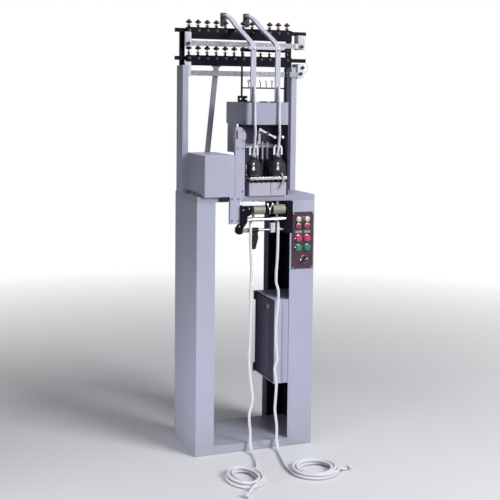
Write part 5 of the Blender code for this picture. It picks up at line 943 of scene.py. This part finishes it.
def drum_finish(name, axis):
    """Blackened steel with a film of oil, and a white painted highlight round the place where the ceramic eye
    stands, on the side facing the camera.
    """
    finish = Finish(name, DRUM_BLACK, 0.40)
    finish.set("Specular IOR Level", 0.25)
    oil = finish.cloud(70.0, 3.0)
    blackened = finish.mixed((oil * 1.5 - 0.3).held(), DRUM_BLACK, (0.030, 0.030, 0.040))
    highlight_centre = Vector((*axis, DRUM_LOW_Z + EYE_RISE)) + eye_way * DRUM_RADIUS
    from_highlight_centre = finish.node(
        "ShaderNodeVectorMath", "Value", {"operation": "DISTANCE"}, {0: finish.place, 1: tuple(highlight_centre)},
    )
    level = finish.stretched((1.0, 1.0, 0.0))
    from_axis = finish.node(
        "ShaderNodeVectorMath", "Value", {"operation": "DISTANCE"}, {0: level, 1: (*axis, 0.0)},
    )
    # Painted highlight: white on the drum round the eye, on the side facing the camera.
    in_highlight = ((HIGHLIGHT_RADIUS - from_highlight_centre) * HIGHLIGHT_EDGE_SHARPNESS).held()
    proud = ((from_axis - DRUM_RADIUS - 0.0002) * PROUD_EDGE_SHARPNESS).held()
    painted_highlight = in_highlight * proud
    finish.tint(painted_highlight, blackened, CERAMIC_AND_HIGHLIGHT_WHITE)
    finish.set("Roughness", 0.30 + oil * 0.25 - painted_highlight * 0.15)
    finish.relief(finish.cloud(600.0, 2.0), 0.0002, 0.5)
    return finish


needle_steel = steel_finish("needle_steel", (0.13, 0.13, 0.15), 0.25)
ceramic = Finish("glazed_ceramic", CERAMIC_AND_HIGHLIGHT_WHITE, 0.12, 0.0, 0.5)
glaze = ceramic.cloud(160.0, 3.0)
ceramic.tint(glaze, (0.80, 0.79, 0.80), (0.90, 0.89, 0.90))
ceramic.relief(glaze, 0.0002, 0.3)


def hoop(at, rise, inner, outer, tall):
    """A flat hoop lying level, a rise above a point."""
    return turned(
        [(inner, 0.0), (outer, 0.0), (outer, tall), (inner, tall)], at + Vector((0.0, 0.0, rise)), UPWARD, 48,
    )


def needle(foot, low, high, radius):
    """A fine upright pin between two heights above its foot."""
    return bar(foot + Vector((0.0, 0.0, low)), foot + Vector((0.0, 0.0, high)), radius, 8, 0.0003)


for side, (x, y) in DRUM_AXES.items():
    dress(drum_finish("blackened_drum_steel_" + side, (x, y)), "braiding_drum_" + side)
    dress(bright_plate, "needle_tube_" + side)
    base = Vector((x, y, DRUM_LOW_Z))
    needles = []
    for number in range(NEEDLE_COUNT):
        angle = 2 * math.pi * (number + 0.5) / NEEDLE_COUNT
        around = Vector((math.cos(angle), math.sin(angle), 0.0))
        needles.append(needle(base + around * NEEDLE_CIRCLE, 0.073, 0.0895, 0.0012))
        needles.append(needle(base + around * BUTT_CIRCLE, BUTT_MARGIN, DRUM_WALL_TALL - BUTT_MARGIN, 0.0011))
    ring = hoop(base, 0.0035, 0.0374, 0.0392, 0.0030)
    band = hoop(base, DRUM_WALL_TALL - 0.0055, 0.0374, 0.0392, 0.0026)
    crown = turned(
        [(0.0166, 0.0), (0.0182, 0.0), (0.0176, 0.004), (0.0166, 0.004)],
        (x, y, DRUM_LOW_Z + 0.0865), UPWARD, 48,
    )
    piece("drum_needles_" + side, [*needles, ring, band, crown], needle_steel, "head_" + side)
    # Painted highlight: the eye faces the camera and is flattened; with the white patch round it, it stands
    # for the drum's highlight.
    eye = turned(
        [(0.0, 0.0), (0.0044, 0.0), (0.0054, 0.0018), (0.0052, 0.012), (0.0042, 0.028), (0.0036, 0.0345),
         (0.0026, 0.0360), (0.0014, 0.0360), (0.0014, 0.0300), (0.0, 0.0300)],
        (0.0, 0.0, 0.0), UPWARD, 28,
    )
    lean = Matrix.Translation(Vector((x, y, DRUM_LOW_Z + 0.027)) + eye_way * 0.0384)
    lean = lean @ Matrix.Rotation(-EYE_TURN_TO_CAMERA, 4, "Z") @ Matrix.Rotation(EYE_LEAN, 4, "X")
    bmesh.ops.transform(eye, verts=eye.verts, matrix=lean @ Matrix.Diagonal((1.0, EYE_FLATNESS, 1.0, 1.0)))
    piece("drum_eye_" + side, [eye], ceramic, "head_" + side)

# Yarn guides round the heads: wire arches on flat arms, three guide rods in dark sleeves, and the bright
# stop lever that drops when a yarn breaks, with a black cap on its pin and a dark catch block behind
# it. A bright knob stands at the frame's right, a bright wheel at the plate's left, and a bent hook
# hangs from the plate's right end.
dress(steel_finish("guide_wire_steel", (0.66, 0.66, 0.72), 0.30, metallic=0.35), "yarn_guides")
dress(bright_plate, "stop_lever")
piece(
    "stop_lever_pin_cap",
    [turned([(0.0, 0.0), (0.0046, 0.0), (0.0052, 0.0008), (0.0052, 0.0028), (0.0036, 0.0044), (0.0, 0.0050)],
            (0.048, -0.1736, 1.487), OUT, 24)],
    black_plastic,
)
catch = [
    block((-0.050, -0.118, 1.3905), (-0.038, -0.0635, 1.424), 0.002),
    bar((-0.044, -0.1185, 1.406), (-0.044, -0.128, 1.406), 0.0052, 20, 0.0008),
    block((-0.0540, -0.150, 1.2885), (-0.0510, -0.080, 1.372), 0.001),
    bar((-0.0525, -0.150, 1.330), (-0.0525, -0.168, 1.330), 0.0060, 20, 0.0008),
    bar((-0.0525, -0.150, 1.352), (-0.0525, -0.164, 1.352), 0.0045, 20, 0.0008),
]
for x in GUIDE_ROD_XS:
    catch.append(turned(
        [(0.0046, 0.0), (0.0064, 0.0), (0.0064, 0.074), (0.0056, 0.076), (0.0046, 0.076)],
        (x, -0.106, 1.2890), UPWARD, 20,
    ))
piece("yarn_catch_block", catch, black_plastic)
knobs = [
    turned([(0.0, 0.0), (0.0070, 0.0), (0.0082, 0.0012), (0.0082, 0.0070), (0.0062, 0.0086), (0.0, 0.0090)],
           (0.1254, -0.1600, 1.468), OUT, 24),
    turned([(0.0, 0.0), (0.0060, 0.0006), (0.0084, 0.0036), (0.0084, 0.0054), (0.0060, 0.0084),
            (0.0, 0.0090)],
           (-0.0369, -0.1880, 1.2803), OUT, 24),
]
for start, end in zip(HOOK_POINTS, HOOK_POINTS[1:]):
    knobs.append(bar((start[0], HOOK_Y, start[1]), (end[0], HOOK_Y, end[1]), 0.0042, 12, 0.0012))
piece("bright_knobs_and_hook", knobs, bright_plate)

# Head yarns: thick white twisted yarn from each arm through its arch, down the needle tube and out
# of the rollers' nip.
YARN_RADIUS = 0.0060
YARN_TWIST_LENGTH = 0.016
ARM_FRONT_Y = -0.169
YARN_RING_SPACING = 0.0022
YARN_ROUTE = (
    (-0.010, -0.1770, 1.7000), (-0.010, -0.1770, 1.6800), (-0.010, -0.1810, 1.6580),
    (-0.010, -0.1860, 1.6300), (-0.010, -0.1860, 1.5785), (-0.010, -0.1900, 1.5270),
    (-0.005, -0.1820, 1.4927), (-0.002, -0.1700, 1.4650), (0.0, -0.1635, 1.4460),
    (0.0, -0.1570, 1.4210), (0.0, -0.1512, 1.4020), (0.0, -0.1502, 1.3880),
    (0.0, -0.1500, 1.3720), (0.0, -0.1500, 1.3000), (0.0, -0.1500, 1.2000), (0.0, -0.1500, 1.1101),
)


def twist(angle, along):
    """Height of a yarn twisted from three strands."""
    return 0.5 + 0.5 * math.cos(3 * angle - 2 * math.pi * along / YARN_TWIST_LENGTH)


# The yarn's second colour is painted shade between its twisted strands.
yarn_finish = fibre_finish("white_twisted_yarn", (0.84, 0.84, 0.88), (0.50, 0.50, 0.60))
for side, (x, y) in DRUM_AXES.items():
    route = [(x + aside, along_y, z) for aside, along_y, z in YARN_ROUTE]
    path = smooth_route(route, YARN_RING_SPACING)
    mesh = strand("head_yarn_" + side, path, YARN_RADIUS, 7, 0.16, twist)
    yarn = made_object("head_yarn_" + side, mesh, yarn_finish)
    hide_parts("yarn_" + side)

# Take-up under the table: two knurled roller shafts in black side plates, a white guard strip before
# their nip, a chromed guide bar, the lower rod with its sleeve and pale guide block, a black clamp
# handle, and a bright fork on the bearing block.
ROLLER_GREY = (0.34, 0.33, 0.27)
ROLLER_GROOVE_SHADE = (0.22, 0.21, 0.18)
ROLLER_LIGHT = (0.44, 0.42, 0.34)
BLACK_COAT = (0.006, 0.006, 0.011)
BLACK_COAT_WORN = (0.014, 0.013, 0.021)
BEARING_FACE_Y = -0.200

black_coat = coat_finish("black_enamel", BLACK_COAT, BLACK_COAT_WORN, gloss=0.02)
dress(black_coat, "takeup_frame", "takeup_left_arm")
knurl = Finish("knurled_roller_steel", ROLLER_GREY, 0.42, 0.35)
slanted, crossed = (
    knurl.node(
        "ShaderNodeTexWave", "Fac", {"wave_type": "BANDS", "bands_direction": direction},
        {"Vector": knurl.place, "Scale": scale},
    )
    for direction, scale in (("DIAGONAL", 260.0), ("X", 210.0))
)
diamonds = slanted * crossed
fluff = knurl.cloud(90.0, 3.0)
# Painted shade darkens the knurl's grooves; fluff makes the colour patchy.
knurl.tint((diamonds * 0.6 + fluff * 0.6 - 0.1).held(), ROLLER_GROOVE_SHADE, ROLLER_LIGHT)
knurl.set("Roughness", 0.34 + fluff * 0.25)
knurl.relief(diamonds, 0.0005, 0.8)
dress(knurl, "front_rollers", "rear_rollers")
chrome = steel_finish("polished_chrome", (0.86, 0.86, 0.90), 0.09, (40.0, 800.0, 800.0))
dress(chrome, "guide_bar")
dress(turned_steel, "lower_rod")
dress(black_plastic, "clamp_handle")
fork = []
for side in (-1, 1):
    prong = block((-0.0026, BEARING_FACE_Y - 0.0040, 0.0), (0.0026, BEARING_FACE_Y + 0.0002, 0.030), 0.0008)
    lean = Matrix.Rotation(math.radians(24 * side), 4, "Y")
    lean = Matrix.Translation((0.0503 + side * 0.0022, 0.0, 1.140)) @ lean
    bmesh.ops.transform(prong, verts=prong.verts, matrix=lean)
    fork.append(prong)
fork.append(block((0.0472, BEARING_FACE_Y - 0.0042, 1.118), (0.0534, BEARING_FACE_Y + 0.0002, 1.146), 0.0010))
piece("bearing_fork", fork, bright_plate)
guards = [block((-0.084, -0.1995, 1.1583), (0.028, -0.1925, 1.1755), 0.0012)]
guard_coat = coat_finish("guard_coat", (0.88, 0.88, 0.93), (0.80, 0.80, 0.86), gloss=0.5)
piece("nip_guard_strip", guards, guard_coat)
sleeve = turned(
    [(0.0070, 0.0), (0.0095, 0.0), (0.0100, 0.0006), (0.0100, 0.0388), (0.0095, 0.0394), (0.0070, 0.0394)],
    (-0.0787, -0.172, 1.042), (1.0, 0.0, 0.0), 24,
)
sleeve_coat = coat_finish("sleeve_coat", (0.42, 0.40, 0.34), (0.34, 0.32, 0.27))
piece("lower_rod_sleeve", [sleeve], sleeve_coat)
pale_block = coat_finish("guide_block_coat", (0.62, 0.62, 0.68), (0.54, 0.54, 0.60))
piece(
    "guide_block_shell",
    [
        block((0.0632, -0.1838, 1.0292), (0.0858, -0.1830, 1.0748), 0.0003),
        bar((0.0745, -0.1832, 1.062), (0.0745, -0.1868, 1.062), 0.0042, 20, 0.0006),
    ],
    pale_block,
)
take_screws = []
for y, z in ((-0.190, 1.160), (-0.110, 1.160), (-0.190, 1.060), (-0.110, 1.060)):
    take_screws.append(cap_screw((0.1665, y, z), (1.0, 0.0, 0.0), 0.0036))
for x, z in ((-0.078, 1.140), (-0.050, 1.146), (-0.097, 1.066)):
    take_screws.append(cap_screw((x, BEARING_FACE_Y, z), OUT, 0.0034))
piece("takeup_screws", take_screws, zinc)

# Creel: two coated posts, the black frame of bars and rails on them, the speckled grey guide strips
# with their pale end brackets, the slanting stay, black thumb screws that hold the strips, and a wire
# loop at the lower strip's right end.
STRIP_GREY = (0.34, 0.35, 0.39)
STRIP_SPECK = (0.12, 0.12, 0.15)
STRIP_END_COAT = (0.60, 0.60, 0.68)
WIRE_LOOP = ((0.3500, 1.825), (0.3612, 1.815), (0.3650, 1.804), (0.3612, 1.790), (0.3460, 1.768))
WIRE_LOOP_Y = 0.100
STRIP_SPECK_LEFT_X = -0.2456
STRIP_SPECK_RIGHT_X = 0.289
STRIP_EDGE_SHARPNESS = 2000.0

dress(stand_coat, "creel_post_left", "creel_post_right")
dress(black_coat, "creel_frame")
speckled = Finish("speckled_strip_coat", STRIP_GREY, 0.45)
specks = speckled.cloud(150.0, 4.0)
speckle = speckled.mixed((specks * 3.0 - 1.1).held(), STRIP_SPECK, (0.52, 0.53, 0.58))
past_left = ((STRIP_SPECK_LEFT_X - speckled.part("X")) * STRIP_EDGE_SHARPNESS).held()
past_right = ((speckled.part("X") - STRIP_SPECK_RIGHT_X) * STRIP_EDGE_SHARPNESS).held()
speckled.tint((past_left + past_right).held(), speckle, STRIP_END_COAT)
speckled.set("Roughness", 0.35 + specks * 0.25)
speckled.relief(specks, 0.0006, 0.6)
dress(speckled, "upper_creel_strip", "lower_creel_strip")
dress(coat_finish("stay_coat", (0.36, 0.37, 0.43), (0.30, 0.31, 0.36)), "creel_stay")
plates = [
    block((0.2994, 0.0697, 1.8856), (0.3336, 0.1212, 1.9544), 0.0012),
    block((0.2898, 0.0517, 1.7466), (0.3226, 0.1212, 1.8154), 0.0012),
    block((-0.2764, 0.0697, 1.8856), (-0.2456, 0.0852, 1.9544), 0.0012),
]
piece(
    "strip_end_plates", plates, coat_finish("end_plate_coat", STRIP_END_COAT, (0.53, 0.53, 0.60)),
)
thumb = [
    turned(
        [(0.0, 0.0), (0.0030, 0.0), (0.0030, 0.003), (0.0075, 0.0035), (0.0082, 0.0045), (0.0082, 0.0105),
         (0.0072, 0.0118), (0.0, 0.0118)],
        at, OUT, 14,
    )
    for at in (
        (0.3165, 0.0696, 1.900), (0.3050, 0.0516, 1.768), (0.3150, 0.0516, 1.798), (-0.261, 0.0696, 1.900),
    )
]
piece("strip_thumb_screws", thumb, black_plastic)
loop = [
    bar((start[0], WIRE_LOOP_Y, start[1]), (end[0], WIRE_LOOP_Y, end[1]), 0.0011, 10, 0.0002)
    for start, end in zip(WIRE_LOOP, WIRE_LOOP[1:])
]
piece("creel_wire_loop", loop, zinc)

# Yarn tensioners: on each, a black foot, a steel pin, two dark dished discs that pinch the yarn, a fine
# coil spring, and a nearly black nut that presses the spring down, with painted light making it brown red
# towards the right.
TENSION_COUNT = 12
TENSION_SPAN = 0.500
TENSION_XS = [
    -TENSION_SPAN / 2 + TENSION_SPAN * number / (TENSION_COUNT - 1) for number in range(TENSION_COUNT)
]
TENSION_Y = 0.0975
FOOT_SHARE = 0.55
TIERS = (("upper", 1.976, 0.017), ("lower", 1.845, 0.026))
ARM_XS = (-0.024, 0.096)
ARM_WAY = 0.0245
NUT_PROFILE = (
    (0.0, 0.002), (0.0080, 0.002), (0.0090, 0.0040), (0.0132, 0.0050), (0.0146, 0.0064), (0.0146, 0.0110),
    (0.0132, 0.0130), (0.0080, 0.0146), (0.0062, 0.0190), (0.0050, 0.0205), (0.0, 0.0205),
)
NUT_RED = (0.030, 0.006, 0.010)
NUT_LIT_BROWN_RED = (0.120, 0.022, 0.018)


def coil(at, radius, wire, low, high, turns, steps=10):
    """A coil spring standing on a point, as a thin tube along a helix."""
    bm = bmesh.new()
    count = turns * steps
    rim = bmesh.ops.create_circle(bm, cap_ends=False, radius=wire, segments=5)["verts"]
    stand = Matrix.Translation((radius, 0.0, low)) @ Matrix.Rotation(math.pi / 2, 4, "X")
    bmesh.ops.transform(bm, verts=rim, matrix=stand)
    bmesh.ops.spin(
        bm, geom=list(bm.verts) + list(bm.edges), cent=(0.0, 0.0, 0.0), axis=(0.0, 0.0, 1.0),
        angle=2 * math.pi * turns, steps=count, dvec=(0.0, 0.0, (high - low) / count),
    )
    bmesh.ops.holes_fill(bm, edges=bm.edges)
    bmesh.ops.recalc_face_normals(bm, faces=bm.faces)
    bmesh.ops.translate(bm, verts=bm.verts, vec=at)
    return bm


nut_finish = plastic_finish("dark_red_nut_lit_right", NUT_RED, 0.35, 0.1, gloss=0.2)
# Painted light: the nuts turn brown red towards the right, where the lamp falls.
lamp_lit_right_share = ((nut_finish.part("X") - 0.15) * 10.0).held()
nut_finish.tint(lamp_lit_right_share, NUT_RED, NUT_LIT_BROWN_RED)
disc_finish = steel_finish("polished_disc_steel", (0.16, 0.15, 0.17), 0.20)
for tier, top, stem in TIERS:
    feet = []
    discs = []
    springs = []
    caps = []
    low_disc = stem * FOOT_SHARE
    for x in TENSION_XS:
        if tier == "upper" and min(abs(x - at) for at in ARM_XS) < ARM_WAY:
            continue
        at = Vector((x, TENSION_Y, top))
        feet.append(turned(
            [(0.0, 0.0003), (0.0078, 0.0003), (0.0078, 0.0035), (0.0052, 0.0050), (0.0042, low_disc),
             (0.0, low_disc)],
            at, UPWARD, 16,
        ))
        discs.append(turned(
            [(0.0, low_disc), (0.0040, low_disc), (0.0095, low_disc - 0.0016), (0.0115, low_disc - 0.0016),
             (0.0115, low_disc - 0.0006), (0.0040, low_disc + 0.0010), (0.0095, low_disc + 0.0026),
             (0.0115, low_disc + 0.0026), (0.0115, low_disc + 0.0036), (0.0040, low_disc + 0.0022),
             (0.0018, low_disc + 0.0022), (0.0018, stem + 0.0205), (0.0, stem + 0.0210)],
            at, UPWARD, 20,
        ))
        springs.append(coil(at, 0.0040, 0.0006, low_disc + 0.0028, stem + 0.0045, 3))
        caps.append(turned(
            [(radius, stem + height) for radius, height in NUT_PROFILE], at, UPWARD, 18,
        ))
    strip_low, strip_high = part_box(tier + "_tensioners")
    feet.append(block(
        (strip_low.x, TENSION_Y - 0.008, top + 0.0003), (strip_high.x, TENSION_Y + 0.008, top + 0.0023),
        0.0004,
    ))
    foot_rail = piece(tier + "_tension_feet", feet, black_coat)
    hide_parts(tier + "_tensioners")
    piece(tier + "_tension_discs", discs, disc_finish)
    piece(tier + "_tension_springs", springs, zinc)
    piece(tier + "_tension_nuts", caps, nut_finish)

# Creel eyelets: a dark glazed ring under each tensioner, pressed into the front of both bars.
BAR_EYELET = (
    (0.0028, -0.0008), (0.0062, -0.0008), (0.0068, 0.0008), (0.0060, 0.0024), (0.0042, 0.0028),
    (0.0028, 0.0016),
)
BAR_FRONT_Y = 0.0850

rings = []
for low_z, tall in ((1.924, 0.052), (1.799, 0.046)):
    for x in TENSION_XS:
        rings.append(turned(BAR_EYELET, (x, BAR_FRONT_Y, low_z + tall * 0.72), OUT, 20))
bar_glaze = Finish("dark_glazed_ceramic", (0.050, 0.060, 0.070), 0.22)
bar_glaze.tint(bar_glaze.cloud(160.0, 3.0), (0.040, 0.048, 0.056), (0.075, 0.085, 0.095))
piece("creel_bar_eyelets", rings, bar_glaze)

# Guide frame on the hood: black square posts and beam with a clamp, and a bar of ceramic eyelets.
FRAME_EYELET = (
    (0.0026, -0.0006), (0.0056, -0.0006), (0.0060, 0.0006), (0.0050, 0.0016), (0.0036, 0.0018),
    (0.0026, 0.0010),
)
FRAME_EYELET_COUNT = 5
FRAME_EYELET_LEFT_X = -0.040
FRAME_EYELET_PITCH = 0.0285

dress(black_coat, "guide_frame")
rings = []
for number in range(FRAME_EYELET_COUNT):
    x = FRAME_EYELET_LEFT_X + number * FRAME_EYELET_PITCH
    for way in (-1.0, 1.0):
        rings.append(turned(FRAME_EYELET, (x, -0.150 + way * 0.0020, 1.726), (0.0, way, 0.0), 20))
piece("guide_frame_eyelets", rings, ceramic)
clamps = [cap_screw((x, -0.160, 1.644), OUT, 0.0040) for x in (-0.084, -0.056)]
piece("guide_clamp_screws", clamps, zinc)

# Yarn arms: two flat coated arms over the creel with a crossbar, a dark block with a ceramic ring at
# each tip, and screws through their feet into the hood.
ARM_COAT = (0.56, 0.57, 0.68)
TIP_RING = (
    (0.0030, 0.0), (0.0074, 0.0), (0.0080, 0.0012), (0.0066, 0.0026), (0.0044, 0.0028), (0.0030, 0.0016),
)

dress(coat_finish("arm_coat", ARM_COAT, (0.48, 0.49, 0.60)), "yarn_arms")
rings = []
tips = []
arm_screws = []
for x in ARM_XS:
    for way in (1.0, -1.0):
        rings.append(turned(TIP_RING, (x, 0.257 + way * 0.0050, 2.003), (0.0, way, 0.0), 24))
    for z in (1.648, 1.664):
        arm_screws.append(cap_screw((x + 0.006, ARM_FRONT_Y, z), OUT, 0.0034))
    arm_screws.append(cap_screw((x, -0.175, 1.875), OUT, 0.0036))
    tips.append(block((x - 0.0140, 0.2440, 2.000), (x + 0.0140, 0.2640, 2.0640), 0.0015))
piece("arm_tip_rings", rings, ceramic)
piece("arm_screws", arm_screws, zinc)
tip_plastic = plastic_finish("dark_tip_plastic", (0.045, 0.045, 0.050), 0.50, gloss=0.2)
piece("arm_tip_blocks", tips, tip_plastic)

# Photographer's floor and light: a pale floor that fades into a white background and throws back less
# light than the camera sees on it, a large soft lamp at the right front, a weak low one with a grid at
# the left, and one overhead.
FLOOR_PALE = (0.80, 0.81, 0.84)
FLOOR_BOUNCE = (0.28, 0.29, 0.32)
LAMPS = (
    ("right_front_lamp", (2.6, -4.2, 3.0), (0.0, -0.1, 1.1), 2.2, 262.0, 180.0),
    ("left_low_lamp", (-2.2, -1.2, 0.12), (0.0, 0.0, 0.1), 0.7, 8.0, 72.0),
    ("top_lamp", (0.2, -0.8, 4.2), (0.0, 0.0, 1.0), 2.4, 42.0, 180.0),
)
AMBIENT = (0.90, 0.92, 1.00)
AMBIENT_LEVEL = 0.07
FLOOR_HALF = 14.0
FLOOR_Z = -0.0006
FADE_START = 1.2
FADE_LENGTH = 3.5

floor_shape = bmesh.new()
bmesh.ops.create_grid(floor_shape, x_segments=8, y_segments=8, size=FLOOR_HALF)
bmesh.ops.translate(floor_shape, verts=floor_shape.verts, vec=(0.0, 0.0, FLOOR_Z))
floor_mesh = bpy.data.meshes.new("studio_floor")
floor_shape.to_mesh(floor_mesh)
floor_shape.free()
floor = bpy.data.objects.new("studio_floor", floor_mesh)
bpy.context.scene.collection.objects.link(floor)
floor_paint = Finish("pale_floor", FLOOR_PALE, 0.7)
distance = floor_paint.node("ShaderNodeVectorMath", "Value", {"operation": "LENGTH"}, {0: floor_paint.place})
far_share = ((distance - FADE_START) / FADE_LENGTH).held()
rays = floor_paint.node("ShaderNodeLightPath", None)
seen = Signal(floor_paint, rays.outputs["Is Camera Ray"])
floor_paint.tint(seen, FLOOR_BOUNCE, FLOOR_PALE)
glow = floor_paint.node("ShaderNodeEmission", "Emission", None, {"Color": (1.0, 1.0, 1.0), "Strength": 1.0})
surface = Signal(floor_paint, floor_paint.shader.outputs["BSDF"])
fade = floor_paint.node("ShaderNodeMixShader", "Shader", None, {0: far_share * seen, 1: surface, 2: glow})
floor_paint.feed(floor_paint.tree.nodes["Material Output"].inputs["Surface"], fade)
floor_mesh.materials.append(floor_paint.material)

for name, place, target, size, power, spread in LAMPS:
    lamp_data = bpy.data.lights.new(name, "AREA")
    lamp_data.shape = "SQUARE"
    lamp_data.size = size
    lamp_data.energy = power
    lamp_data.spread = math.radians(spread)
    lamp = bpy.data.objects.new(name, lamp_data)
    aim = (Vector(target) - Vector(place)).to_track_quat("-Z", "Y")
    lamp.matrix_world = Matrix.Translation(place) @ aim.to_matrix().to_4x4()
    bpy.context.scene.collection.objects.link(lamp)

world = bpy.data.worlds.new("studio")
bpy.context.scene.world = world
sky = Nodes(world)
rays = sky.node("ShaderNodeLightPath", None)
bright = (
    Signal(sky, rays.outputs["Is Camera Ray"])
    + Signal(sky, rays.outputs["Is Glossy Ray"])
    + Signal(sky, rays.outputs["Is Transmission Ray"])
).held()
background = sky.tree.nodes["Background"]
sky.feed(background.inputs["Color"], sky.mixed(bright, AMBIENT, (1.0, 1.0, 1.0)))
sky.feed(background.inputs["Strength"], AMBIENT_LEVEL + bright * (1.0 - AMBIENT_LEVEL))

bpy.context.scene.view_settings.view_transform = "Standard"
